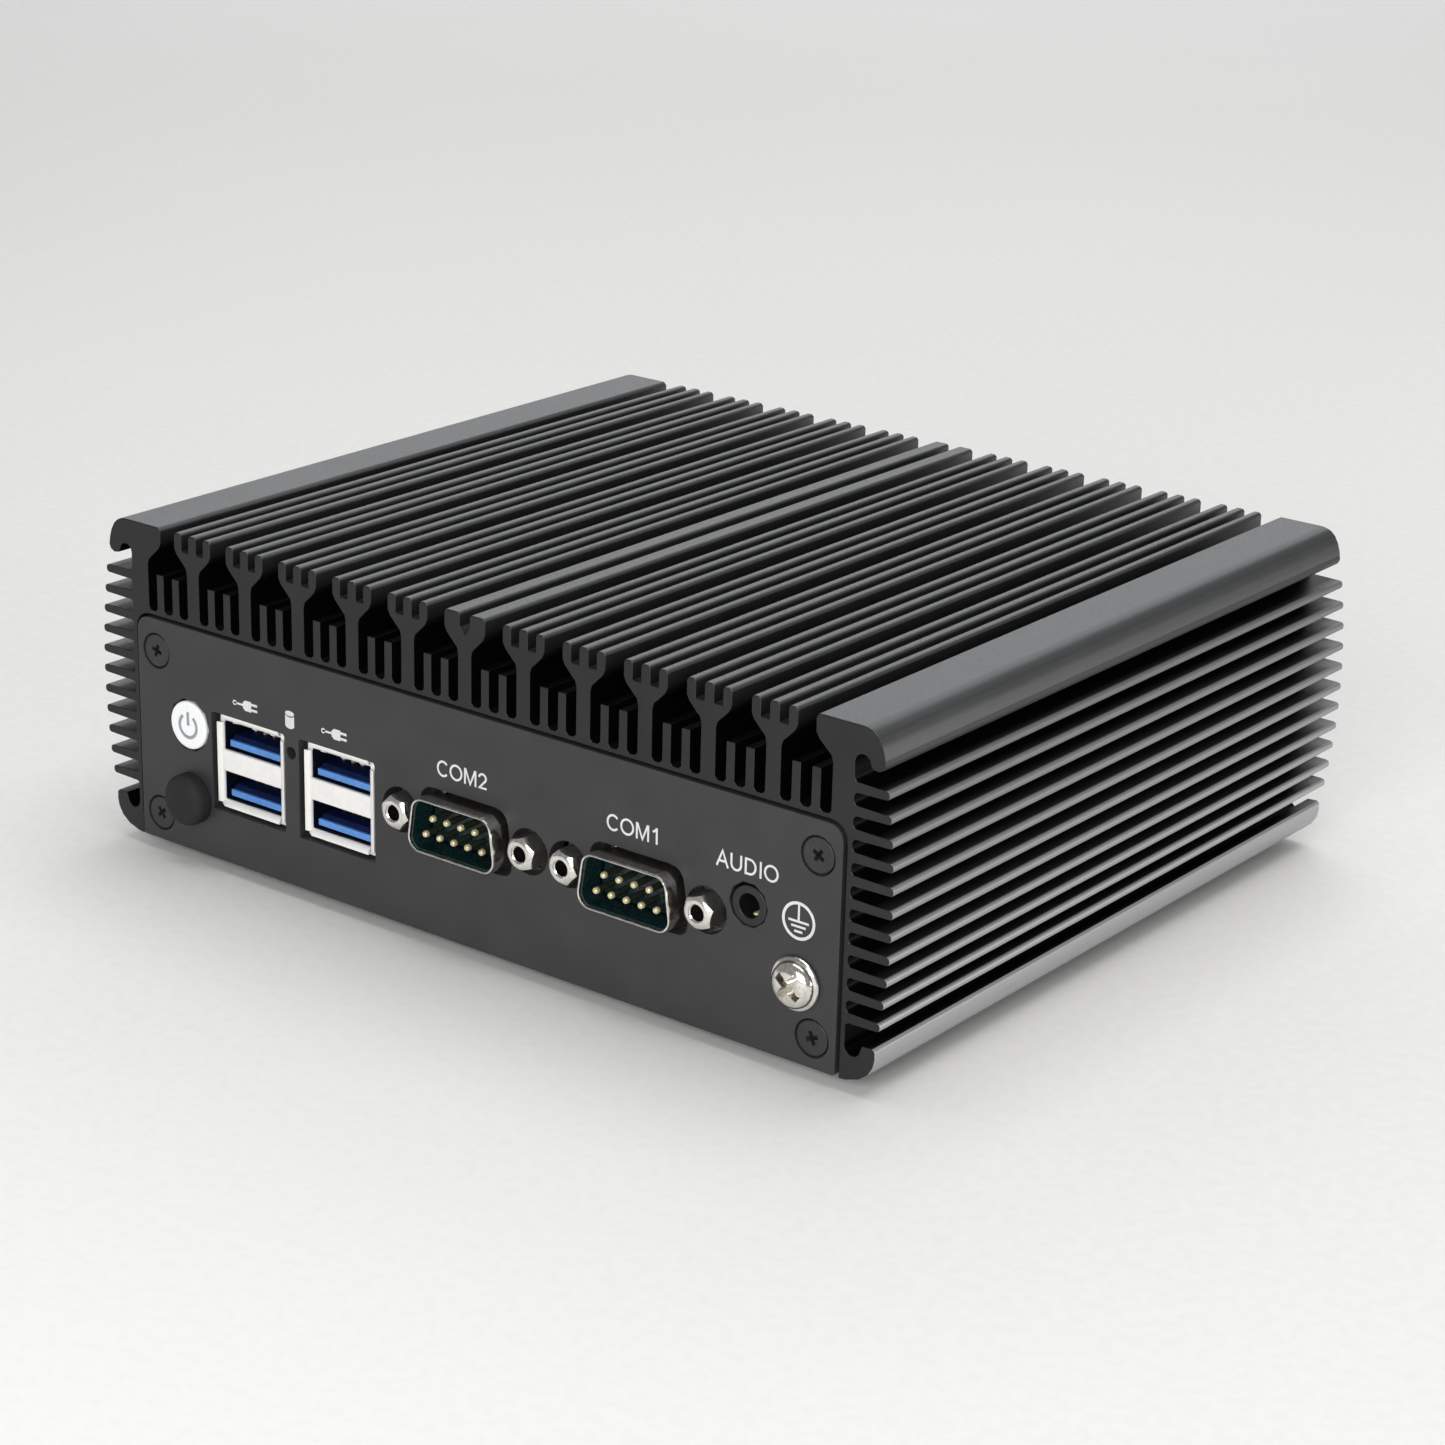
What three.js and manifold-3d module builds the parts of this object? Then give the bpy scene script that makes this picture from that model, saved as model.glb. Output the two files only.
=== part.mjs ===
// A fanless mini computer: a finned extruded case with screwed end panels, its ports, boards and feet.
// Millimetres. +X is right as seen from the front, +Y runs to the back, +Z is up; it stands on Z = 0.
import * as THREE from 'three';
import { mergeVertices } from 'three/addons/utils/BufferGeometryUtils.js';
import Module from 'manifold-3d';

const wasm = await Module();
wasm.setup();

// ---------------------------------------------------------------- driving dimensions
const CASE_DEPTH = 126;
const CASE_HEIGHT = 52.6;
const FOOT_HEIGHT = 1.8;
const TOP_Z = FOOT_HEIGHT + CASE_HEIGHT;
const FRONT_Y = -CASE_DEPTH / 2;
const TOUCH = 0.05; // between faces that bear on each other
const CLEAR = 0.3; // round a piece that sits in a cut

// top fins: Y-shaped tall fins with pairs of short fins in the channels between them
const FIN_PITCH = 11.3;
const FINS_EACH_SIDE = 5;
const STEM_HALF = 1.3;
const HEAD_HALF = 3.95;
const HEAD_SLOT = { centre: 1.6, half: 0.78, depth: 2.9 };
const MIDDLE_SLOT = { half: 1.0, side: 2.2, depth: 3.3 };
const CHANNEL = { pitch: 3.4, half: 0.95, floor: 13.9, corner: 0.45, shortTop: 7.75 };

// edge rails, side fins and the hooked lower edges, as half widths and depths below the top
const RAIL_HALF = 63.5;
const WALL_OUTER = 70.2;
const WALL_INNER = 66.5;
const LIP_OUTER = 75.2;
const SIDE_FIN = { count: 11, first: 9.0, pitch: 3.4, root: 0.78, tip: 0.66, reach: 77.35, bow: 0.053 };
const CEILING = 17.4;
const BOSS = { inner: 61.4, topEnd: 24, lowStart: 44.6, lowEnd: 50.9 };

// end panels
const PANEL = { half: 69.0, top: 15.05, bottom: 52.3, corner: 2.8, proud: 0.35, thick: 3.2 };
const RECESS = { half: 69.45, top: 14.6, depth: PANEL.thick - PANEL.proud + CLEAR, corner: 3.2 };
const PANEL_FACE = FRONT_Y - PANEL.proud;
const PANEL_BACK = PANEL_FACE + PANEL.thick;
const SCREW_X = 64.85;
const SCREW_DEPTHS = [20.35, 47.75];
const SCREW = { shank: 1.5, head: 2.7, cone: 1.5, length: 9 };
const COVER = { half: 66.2, top: 51.0, bottom: 52.4, screwX: 63.6, screwY: 35, screwHead: 2.3 };
const FOOT = { x: 56, y: 50, top: 5.5, base: 5.0 };

// front ports: x and depth below the top
const BUTTON = { x: -57.8, depth: 31.1, radius: 3.95, hole: 4.35, proud: 0.3 };
const HOLE_PLUG = { x: -57.4, depth: 43.2, radius: 4.2, edge: 1.3, hole: 3.1, reach: 3.0 };
const USB_XS = [-44.9, -25.9];
const USB = {
  cutWidth: 15.9, cutTop: 27.6, cutBottom: 44.4, width: 15.0, top: 28.1, bottom: 43.7, deep: 17.5,
  bodyWidth: 14.4, mouthWidth: 12.3, mouthHeight: 4.9, mouths: [31.3, 39.6], mouthDeep: 9.5,
};
const LED = { x: -35.5, depth: 30.3, radius: 0.8 };
const COM_XS = [0.1, 33.1];
const DSUB = {
  depth: 33.7, jackX: 12.5, width: 18.0, height: 8.9, wall: 0.5, slant: 1.3, corner: 2.4, reach: 3.0,
  flangeWidth: 30.8, flangeHeight: 12.5, flangeThick: 0.9, lobe: 3.6, lobeX: 12.8, cutWidth: 19.4, cutHeight: 10.4,
};
const JACK_SCREW = { radius: 2.75, reach: 2.0, bore: 1.25, stud: 1.3 };
const AUDIO = { x: 53.2, depth: 30.85, barrel: 3.05, hole: 3.4, bore: 1.8 };
const GROUND = { x: 62.0, depth: 40.1, flange: 4.1, head: 3.6, proud: 2.4, shank: 1.9, hole: 2.3 };

// rear ports, x as seen in the part's frame
const DC_IN = { x: 55, depth: 33.4, collar: 3.9, hole: 4.4, bore: 3.15, pin: 1.05 };
const HDMI = { x: 38, depth: 31.1, width: 15, height: 5.9, mouthWidth: 13.9, mouthHeight: 4.5 };
const VGA_X = 12;
const LAN_XS = [-18, -38];
const LAN = { width: 15.9, height: 13.4, deep: 21, mouthWidth: 11.8, mouthHeight: 8.0, mouthDeep: 13 };

// boards and what is inside
const BOARD = { half: 60.8, top: 26.5, bottom: 28.05, frontGap: 5.6, postX: 54, postY: 38, postRadius: 2.9 };
const CPU = { x: 0, y: 5, size: 24, thick: 1.3 };
const HEAT_BLOCK = { width: 42, depth: 38 };
const DRIVE = { x: 0, y: -3, width: 100.2, depth: 69.85, thick: 7 };

// ---------------------------------------------------------------- helpers
const below = (depth) => TOP_Z - depth; // height of a level given as a depth below the top
const BOARD_FRONT = FRONT_Y + BOARD.frontGap;

function toSolid(geometry) {
  const bare = geometry.clone();
  bare.deleteAttribute('normal');
  bare.deleteAttribute('uv');
  const merged = mergeVertices(bare, 1e-4);
  const triVerts = new Uint32Array(merged.index.array);
  return new wasm.Manifold(new wasm.Mesh({
    numProp: 3, vertProperties: merged.attributes.position.array, triVerts,
  }));
}

function toGeometry(solid) {
  const { vertProperties, triVerts } = solid.getMesh();
  const geometry = new THREE.BufferGeometry();
  geometry.setAttribute('position', new THREE.BufferAttribute(vertProperties, 3));
  geometry.setIndex(new THREE.BufferAttribute(triVerts, 1));
  geometry.computeVertexNormals();
  return geometry;
}

const join = (...pieces) => toGeometry(pieces.map(toSolid).reduce((a, b) => a.add(b)));
const cut = (body, ...tools) => toGeometry(
  tools.map(toSolid).reduce((solid, tool) => solid.subtract(tool), toSolid(body)),
);

// A box between two x, two y and two depths below the top.
function block([x0, x1], [y0, y1], [d0, d1]) {
  return new THREE.BoxGeometry(x1 - x0, y1 - y0, d1 - d0)
    .translate((x0 + x1) / 2, (y0 + y1) / 2, below((d0 + d1) / 2));
}

// A round bar along Y.
function bar(radius, y0, y1, x, depth, sides = 20) {
  return new THREE.CylinderGeometry(radius, radius, y1 - y0, sides)
    .translate(x, (y0 + y1) / 2, below(depth));
}

// A round post along Z between two depths.
function post(radius, d0, d1, x, y, sides = 16) {
  return new THREE.CylinderGeometry(radius, radius, d1 - d0, sides)
    .rotateX(Math.PI / 2).translate(x, y, below((d0 + d1) / 2));
}

// A turned piece on the Y axis: the profile's [radius, y] runs from the front to the back.
function lathe(profile, sides = 20) {
  return new THREE.LatheGeometry(profile.map(([radius, y]) => new THREE.Vector2(radius, y)), sides);
}

const turned = (profile, x, depth, sides) => lathe(profile, sides).translate(x, 0, below(depth));
const upright = (geometry) => geometry.rotateX(Math.PI / 2); // turns +Y up to +Z

// A flat shape, drawn as seen from the front in x and depth, with its thickness along Y.
function plate(shape, y0, y1, curveSegments = 4) {
  return new THREE.ExtrudeGeometry(shape, { depth: y1 - y0, bevelEnabled: false, curveSegments })
    .rotateX(Math.PI / 2).translate(0, y1, 0);
}

function shapeOf(points) {
  return new THREE.Shape(points.map(([x, depth]) => new THREE.Vector2(x, below(depth))));
}

// A polygon of [x, depth, corner size], listed clockwise, with each corner rounded.
function rounded(clockwise, Kind = THREE.Shape) {
  const corners = [...clockwise].reverse();
  const at = corners.map(([x, depth]) => new THREE.Vector2(x, below(depth)));
  const shape = new Kind();
  corners.forEach(([, , size], i) => {
    const corner = at[i];
    const before = at[(i + corners.length - 1) % corners.length];
    const after = at[(i + 1) % corners.length];
    const start = corner.clone().lerp(before, size / corner.distanceTo(before));
    const end = corner.clone().lerp(after, size / corner.distanceTo(after));
    if (i === 0) shape.moveTo(start.x, start.y);
    else shape.lineTo(start.x, start.y);
    shape.quadraticCurveTo(corner.x, corner.y, end.x, end.y);
  });
  shape.closePath();
  return shape;
}

function roundedBox(x, depth, width, height, size, Kind) {
  const [w, h] = [width / 2, height / 2];
  return rounded([
    [x - w, depth - h, size], [x + w, depth - h, size], [x + w, depth + h, size], [x - w, depth + h, size],
  ], Kind);
}

// The D outline of a nine-way port, wider at the bottom, shrunk or grown by an offset.
function dOutline(x, depth, width, height, offset, Kind) {
  const [w, h] = [width / 2 + offset, height / 2 + offset];
  const corner = DSUB.corner + offset;
  return rounded([
    [x - w + DSUB.slant, depth - h, corner], [x + w - DSUB.slant, depth - h, corner],
    [x + w, depth + h, corner], [x - w, depth + h, corner],
  ], Kind);
}

function roundHole(x, depth, radius) {
  return new THREE.Path().absarc(x, below(depth), radius, 0, Math.PI * 2, true);
}

const toBack = (geometry) => geometry.rotateZ(Math.PI);

// ---------------------------------------------------------------- colours
const finish = (color, roughness, metalness) => new THREE.MeshStandardMaterial({ color, roughness, metalness });
const LOOK = {
  anodised: finish(0x3a3b3d, 0.55, 0.6),
  panel: finish(0x3f4042, 0.6, 0.5),
  blackScrew: finish(0x303132, 0.5, 0.7),
  rubber: finish(0x141414, 0.8, 0),
  whitePlastic: finish(0xf2f3f4, 0.4, 0),
  blackPlastic: finish(0x161617, 0.5, 0),
  nickel: finish(0xd8d8d6, 0.25, 1),
  blueInsert: finish(0x2f6fd8, 0.45, 0),
  tealInsert: finish(0x16423f, 0.5, 0),
  board: finish(0x14503a, 0.6, 0),
  silicon: finish(0x2b2d31, 0.35, 0.2),
  copper: finish(0xb5734a, 0.35, 1),
  lamp: finish(0xc9d6dc, 0.2, 0),
  drive: finish(0x8e9194, 0.4, 0.9),
};

const group = new THREE.Group();

function add(name, geometry, material) {
  const mesh = new THREE.Mesh(geometry, material);
  mesh.name = name;
  group.add(mesh);
}

// ---------------------------------------------------------------- the extruded case
// One flank of a fin head, from its slim stem up to the shoulder of its outer prong.
const FLANK = [[STEM_HALF, 6.3], [1.55, 5.4], [2.4, 4.6], [3.5, 3.5], [HEAD_HALF, 2.6], [HEAD_HALF, 0.35]];

function finPoints(x) {
  const { centre, half, depth } = HEAD_SLOT;
  const prongTop = [[centre - half, 0.3], [centre - half - 0.3, 0]];
  const right = [
    ...prongTop.reverse(), [centre - half, depth], [centre + half, depth], [centre + half, 0.3],
    [centre + half + 0.3, 0], [HEAD_HALF - 0.35, 0], ...[...FLANK].reverse(),
  ];
  const left = [...right].reverse().map(([u, d]) => [-u, d]);
  return [...left, ...right].map(([u, d]) => [x + u, d]);
}

function middleFinPoints() {
  const { half, side, depth } = MIDDLE_SLOT;
  return [
    [0, depth], [half, side], [half, 0.3], [half + 0.3, 0], [HEAD_HALF - 0.35, 0], ...[...FLANK].reverse(),
  ];
}

function channelPoints(x) {
  const { pitch, half, floor, corner, shortTop } = CHANNEL;
  const slot = (u) => [
    [u - half, floor - corner], [u - half + corner, floor], [u + half - corner, floor], [u + half, floor - corner],
  ];
  const shortFin = (u) => [[u - pitch / 2 + half - pitch / 2, shortTop], [u - half, shortTop]];
  return [
    ...slot(-pitch), ...shortFin(0), ...slot(0), ...shortFin(pitch), ...slot(pitch),
  ].map(([u, d]) => [x + u, d]);
}

function railPoints() {
  const inner = [
    [WALL_INNER, 6.4], [66.2, 5.5], [65.2, 4.6], [64.1, 3.6], [RAIL_HALF + 0.05, 2.7], [RAIL_HALF, 0.5],
    [RAIL_HALF + 0.5, 0],
  ];
  const outer = [
    [71.7, 0], [72.9, 0.3], [73.9, 1.1], [74.6, 2.3], [75.0, 3.6], [LIP_OUTER, 4.9], [74.9, 5.6], [74.1, 6.0],
    [73.1, 5.85],
  ];
  const pocket = arc(71.45, 5.35, 1.3, 0, Math.PI, 6);
  return [...inner, ...outer, ...pocket, [WALL_OUTER - 0.05, 5.6]];
}

// Points on a circle in x and depth; an angle of 90 degrees is towards the top.
function arc(x, depth, radius, from, to, steps) {
  return Array.from({ length: steps + 1 }, (_, i) => {
    const angle = from + (to - from) * i / steps;
    return [x + radius * Math.cos(angle), depth - radius * Math.sin(angle)];
  });
}

function sideFinPoints(k) {
  const { first, pitch, root, tip, reach, bow, count } = SIDE_FIN;
  const d = first + pitch * k;
  const x = reach - bow * (k - (count - 1) / 2) ** 2;
  return [
    [WALL_OUTER, d - root], [x - 0.5, d - tip], [x - 0.13, d - tip * 0.75], [x, d - tip * 0.25],
    [x, d + tip * 0.25], [x - 0.13, d + tip * 0.75], [x - 0.5, d + tip], [WALL_OUTER, d + root],
  ];
}

function lowerEdgePoints() {
  const pocket = arc(71.55, 47.2, 1.35, Math.PI, Math.PI * 2, 6);
  return [
    ...pocket, [73.2, 46.5], [74.9, 46.4], [75.35, 46.8], [75.4, 48.0], [75.1, 49.3], [74.3, 50.6], [72.8, 51.7],
    [70.6, 52.4], [68.8, CASE_HEIGHT], [WALL_INNER, CASE_HEIGHT],
  ];
}

function insidePoints() {
  const { inner, topEnd, lowStart, lowEnd } = BOSS;
  return [
    [WALL_INNER, lowEnd], [inner, lowEnd], [inner, lowStart], [WALL_INNER, lowStart], [WALL_INNER, topEnd],
    [inner, topEnd], [inner, CEILING],
  ];
}

function caseOutline() {
  const half = [...middleFinPoints()];
  for (let i = 1; i <= FINS_EACH_SIDE; i++) {
    half.push(...channelPoints((i - 0.5) * FIN_PITCH), ...finPoints(i * FIN_PITCH));
  }
  half.push(...channelPoints((FINS_EACH_SIDE + 0.5) * FIN_PITCH), ...railPoints());
  for (let k = 0; k < SIDE_FIN.count; k++) half.push(...sideFinPoints(k));
  half.push(...lowerEdgePoints(), ...insidePoints());
  const mirrored = half.slice(1).reverse().map(([x, d]) => [-x, d]);
  return shapeOf([...half, ...mirrored]);
}

function recessTool() {
  const past = CASE_HEIGHT + 5;
  const shape = rounded([
    [-RECESS.half, RECESS.top, RECESS.corner], [RECESS.half, RECESS.top, RECESS.corner],
    [RECESS.half, past, 0.1], [-RECESS.half, past, 0.1],
  ]);
  return plate(shape, FRONT_Y - 1, FRONT_Y + RECESS.depth);
}

function caseGeometry() {
  const tools = [recessTool(), toBack(recessTool())];
  for (const x of [-SCREW_X, SCREW_X]) {
    for (const depth of SCREW_DEPTHS) {
      const hole = () => bar(SCREW.shank + CLEAR, FRONT_Y - 1, FRONT_Y + RECESS.depth + 9, x, depth, 12);
      tools.push(hole(), toBack(hole()));
    }
    for (const y of [-COVER.screwY, COVER.screwY]) {
      tools.push(post(1.2 + CLEAR, 45.5, BOSS.lowEnd + 1, Math.sign(x) * COVER.screwX, y, 10));
    }
  }
  return cut(plate(caseOutline(), FRONT_Y, -FRONT_Y), ...tools);
}

add('chassis_extrusion', caseGeometry(), LOOK.anodised);

// ---------------------------------------------------------------- screws
// A cross-head countersunk screw pointing along +Y, its head's face at y = 0 on the axis x = 0, z = 0.
function countersunkScrew({ shank, head, cone, length }, sides = 14) {
  const body = lathe([
    [0, 0], [head, 0], [head, 0.25], [shank, cone + 0.25], [shank, length - 0.5], [shank * 0.6, length], [0, length],
  ], sides);
  const arm = head * 1.15;
  const depth = 1.3;
  const recess = [new THREE.BoxGeometry(arm, depth * 2, 0.7), new THREE.BoxGeometry(0.7, depth * 2, arm)];
  return cut(body, ...recess);
}

const panelScrew = countersunkScrew(SCREW);
const SCREW_FACE = PANEL_FACE + 0.15;
let screwNumber = 0;
for (const depth of SCREW_DEPTHS) {
  for (const x of [-SCREW_X, SCREW_X]) {
    screwNumber += 1;
    const placed = panelScrew.clone().translate(x, SCREW_FACE, below(depth));
    add(`front_panel_screw_${screwNumber}`, placed, LOOK.blackScrew);
    add(`rear_panel_screw_${screwNumber}`, toBack(placed.clone()), LOOK.blackScrew);
  }
}

// ---------------------------------------------------------------- end panels
function blankPanel() {
  const { half, top, bottom, corner } = PANEL;
  return rounded([[-half, top, corner], [half, top, corner], [half, bottom, 0.6], [-half, bottom, 0.6]]);
}

function screwSinks() {
  return [-SCREW_X, SCREW_X].flatMap((x) => SCREW_DEPTHS.map((depth) => turned([
    [0, PANEL_FACE - 1], [SCREW.head + 0.25, PANEL_FACE - 1], [SCREW.head + 0.25, PANEL_FACE + 0.5],
    [SCREW.shank + CLEAR, PANEL_FACE + 0.5 + SCREW.cone], [SCREW.shank + CLEAR, PANEL_BACK + 1], [0, PANEL_BACK + 1],
  ], x, depth, 18)));
}

// Clears a nine-way port and its two jack screws: a wide D with a round lobe at each end.
function portCut(x) {
  const wide = plate(dOutline(x, DSUB.depth, DSUB.cutWidth, DSUB.cutHeight, 0), PANEL_FACE - 1, PANEL_BACK + 1);
  const lobes = [-DSUB.lobeX, DSUB.lobeX].map((u) => bar(
    DSUB.lobe, PANEL_FACE - 1, PANEL_BACK + 1, x + u, DSUB.depth, 18,
  ));
  return [wide, ...lobes];
}

function frontPanel() {
  const shape = blankPanel();
  shape.holes.push(
    roundHole(BUTTON.x, BUTTON.depth, BUTTON.hole),
    roundHole(HOLE_PLUG.x, HOLE_PLUG.depth, HOLE_PLUG.hole),
    roundHole(LED.x, LED.depth, LED.radius + 0.2),
    roundHole(AUDIO.x, AUDIO.depth, AUDIO.hole),
    roundHole(GROUND.x, GROUND.depth, GROUND.hole),
  );
  for (const x of USB_XS) {
    const middle = (USB.cutTop + USB.cutBottom) / 2;
    shape.holes.push(roundedBox(x, middle, USB.cutWidth, USB.cutBottom - USB.cutTop, 0.6, THREE.Path));
  }
  return cut(plate(shape, PANEL_FACE, PANEL_BACK, 5), ...screwSinks(), ...COM_XS.flatMap(portCut));
}

// Drawn as the front panel is, then turned to the back, so x changes sign.
function rearPanel() {
  const shape = blankPanel();
  shape.holes.push(
    roundHole(-DC_IN.x, DC_IN.depth, DC_IN.hole),
    roundHole(-HOLE_PLUG.x, HOLE_PLUG.depth, HOLE_PLUG.hole),
    roundedBox(-HDMI.x, HDMI.depth, HDMI.width + 0.9, HDMI.height + 0.9, 0.8, THREE.Path),
  );
  for (const x of LAN_XS) {
    const middle = BOARD.bottom + LAN.height / 2;
    shape.holes.push(roundedBox(-x, middle, LAN.width + 0.8, LAN.height + 0.8, 0.5, THREE.Path));
  }
  return toBack(cut(plate(shape, PANEL_FACE, PANEL_BACK, 5), ...screwSinks(), ...portCut(-VGA_X)));
}

add('front_panel', frontPanel(), LOOK.panel);
add('rear_panel', rearPanel(), LOOK.panel);

// ---------------------------------------------------------------- bottom cover and feet
const coverCorners = [-1, 1].flatMap((sx) => [-1, 1].map((sy) => [sx, sy]));

function bottomCover() {
  const reach = -PANEL_BACK - 0.35;
  const sheet = block([-COVER.half, COVER.half], [-reach, reach], [COVER.top, COVER.bottom]);
  const sinks = coverCorners.map(([sx, sy]) => upright(lathe([
    [0, -1], [COVER.screwHead + 0.25, -1], [COVER.screwHead + 0.25, 0.35], [1.2 + CLEAR, 1.25], [1.2 + CLEAR, 3], [0, 3],
  ], 14)).translate(sx * COVER.screwX, sy * COVER.screwY, below(COVER.bottom)));
  return cut(sheet, ...sinks);
}

const coverScrew = upright(countersunkScrew({ shank: 1.2, head: COVER.screwHead, cone: 0.9, length: 5.5 }, 12));

add('bottom_cover', bottomCover(), LOOK.panel);
coverCorners.forEach(([sx, sy], i) => {
  const screwZ = below(COVER.bottom) + 0.1;
  add(
    `bottom_cover_screw_${i + 1}`,
    coverScrew.clone().translate(sx * COVER.screwX, sy * COVER.screwY, screwZ),
    LOOK.blackScrew,
  );
  const height = below(COVER.bottom) - TOUCH;
  const foot = upright(lathe([[0, 0], [FOOT.base - 0.4, 0], [FOOT.base, 0.4], [FOOT.top, height], [0, height]]));
  add(`rubber_foot_${i + 1}`, foot.translate(sx * FOOT.x, sy * FOOT.y, 0), LOOK.rubber);
});

// ---------------------------------------------------------------- power button and its switch
const BUTTON_FACE = PANEL_FACE - BUTTON.proud;
const CAP_FLANGE = PANEL_BACK + 0.25;
const STEM_END = FRONT_Y + 5.6;
const SWITCH_FACE = FRONT_Y + 6.6;

add('power_button', turned([
  [0, BUTTON_FACE], [BUTTON.radius - 0.7, BUTTON_FACE + 0.05], [BUTTON.radius - 0.2, BUTTON_FACE + 0.2],
  [BUTTON.radius, BUTTON_FACE + 0.5], [BUTTON.radius, CAP_FLANGE], [4.9, CAP_FLANGE], [4.9, CAP_FLANGE + 1],
  [1.5, CAP_FLANGE + 1], [1.5, STEM_END], [0, STEM_END],
], BUTTON.x, BUTTON.depth, 28), LOOK.whitePlastic);
add('switch_plunger', bar(1.6, STEM_END + TOUCH, STEM_END + 2.6, BUTTON.x, BUTTON.depth, 14), LOOK.blackPlastic);
add('power_switch', cut(
  block([BUTTON.x - 3, BUTTON.x + 3], [SWITCH_FACE, SWITCH_FACE + 6], [BOARD.bottom + TOUCH, BUTTON.depth + 3]),
  bar(1.9, SWITCH_FACE - 1, SWITCH_FACE + 2.8, BUTTON.x, BUTTON.depth, 14),
), LOOK.blackPlastic);

// ---------------------------------------------------------------- rubber plugs in the spare antenna holes
// A cap's flat front and its rounded rim.
function capPoints(radius, reach, edge, face) {
  const steps = 5;
  const rim = Array.from({ length: steps + 1 }, (_, i) => {
    const angle = (Math.PI / 2) * (i / steps);
    return [radius - edge * (1 - Math.sin(angle)), face - reach + edge * (1 - Math.cos(angle))];
  });
  return [[0, face - reach], ...rim];
}

function holePlug() {
  const { radius, reach, edge, hole, x, depth } = HOLE_PLUG;
  const stem = hole - 0.2;
  return turned([
    ...capPoints(radius, reach, edge, PANEL_FACE), [radius - 0.15, PANEL_FACE - TOUCH], [stem, PANEL_FACE - TOUCH],
    [stem, PANEL_BACK + TOUCH], [hole + 0.5, PANEL_BACK + 0.3], [hole - 0.6, PANEL_BACK + 2.2], [0, PANEL_BACK + 2.2],
  ], x, depth, 24);
}

add('antenna_hole_plug_front', holePlug(), LOOK.rubber);
add('antenna_hole_plug_rear', toBack(holePlug().translate(-2 * HOLE_PLUG.x, 0, 0)), LOOK.rubber);

// ---------------------------------------------------------------- stacked USB ports
function usbShell(x) {
  const lipFront = FRONT_Y + 0.1;
  const back = lipFront + USB.deep;
  const lip = block([x - USB.width / 2, x + USB.width / 2], [lipFront, lipFront + 0.8], [USB.top, USB.bottom]);
  const body = block(
    [x - USB.bodyWidth / 2, x + USB.bodyWidth / 2], [lipFront + 0.4, back], [USB.top + TOUCH, USB.bottom - 0.3],
  );
  const across = [x - USB.mouthWidth / 2, x + USB.mouthWidth / 2];
  const mouths = USB.mouths.map((depth) => block(
    across, [lipFront - 1, lipFront + USB.mouthDeep + 0.5],
    [depth - USB.mouthHeight / 2, depth + USB.mouthHeight / 2],
  ));
  const rear = block(
    across, [lipFront + USB.mouthDeep, back + 1],
    [USB.mouths[0] - USB.mouthHeight / 2, USB.mouths[1] + USB.mouthHeight / 2],
  );
  return cut(join(lip, body), ...mouths, rear);
}

function usbInsert(x) {
  const lipFront = FRONT_Y + 0.1;
  const half = USB.mouthWidth / 2 - CLEAR;
  const top = USB.mouths[0] - USB.mouthHeight / 2 + CLEAR;
  const bottom = USB.mouths[1] + USB.mouthHeight / 2 - CLEAR;
  const rear = block(
    [x - half, x + half], [lipFront + USB.mouthDeep + CLEAR, lipFront + USB.deep - 0.5], [top, bottom],
  );
  const tongues = USB.mouths.map((depth) => block(
    [x - half + 0.4, x + half - 0.4], [lipFront + 1.3, lipFront + USB.mouthDeep + 1], [depth + 0.35, depth + 2.05],
  ));
  return join(rear, ...tongues);
}

USB_XS.forEach((x, i) => {
  add(`usb_shell_${i + 1}`, usbShell(x), LOOK.nickel);
  add(`usb_insert_${i + 1}`, usbInsert(x), LOOK.blueInsert);
});

// ---------------------------------------------------------------- status lamp between the USB stacks
add('status_lamp', join(
  bar(LED.radius, FRONT_Y + 0.9, BOARD_FRONT + 0.6, LED.x, LED.depth, 12),
  block([LED.x - 1.3, LED.x + 1.3], [BOARD_FRONT + 0.3, BOARD_FRONT + 3.5], [BOARD.bottom + TOUCH, LED.depth + 1.3]),
), LOOK.lamp);

// ---------------------------------------------------------------- nine-way and display ports
const FLANGE_FACE = PANEL_BACK + TOUCH;

function portShell(x) {
  const { depth, width, height, wall, flangeWidth, flangeHeight, flangeThick, jackX } = DSUB;
  const rim = PANEL_FACE - DSUB.reach;
  const flange = roundedBox(x, depth, flangeWidth, flangeHeight, 0.8);
  flange.holes.push(
    dOutline(x, depth, width, height, -wall, THREE.Path),
    roundHole(x - jackX, depth, JACK_SCREW.stud + CLEAR),
    roundHole(x + jackX, depth, JACK_SCREW.stud + CLEAR),
  );
  const tube = dOutline(x, depth, width, height, 0);
  tube.holes.push(dOutline(x, depth, width, height, -wall, THREE.Path));
  return join(plate(flange, FLANGE_FACE, FLANGE_FACE + flangeThick, 3), plate(tube, rim, FLANGE_FACE + 0.4, 3));
}

// The insulator behind and inside the shell; rowsOf says how many contacts stand in each row.
function contactBlock(x, face, rowsOf, contactPitch, rowPitch) {
  const { depth, width, height, wall, flangeThick } = DSUB;
  const behind = FLANGE_FACE + flangeThick + TOUCH;
  const core = plate(dOutline(x, depth, width, height, -wall - CLEAR), face, behind + 1, 3);
  const rear = block([x - 9.6, x + 9.6], [behind, behind + 9.5], [BOARD.bottom + TOUCH, depth + 5.2]);
  const contacts = rowsOf.flatMap((count, row) => Array.from({ length: count }, (_, i) => bar(
    0.5, PANEL_FACE - 1.6, face + 0.5, x + (i - (count - 1) / 2) * contactPitch,
    depth + (row - (rowsOf.length - 1) / 2) * rowPitch, 8,
  )));
  return join(core, rear, ...contacts);
}

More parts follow.
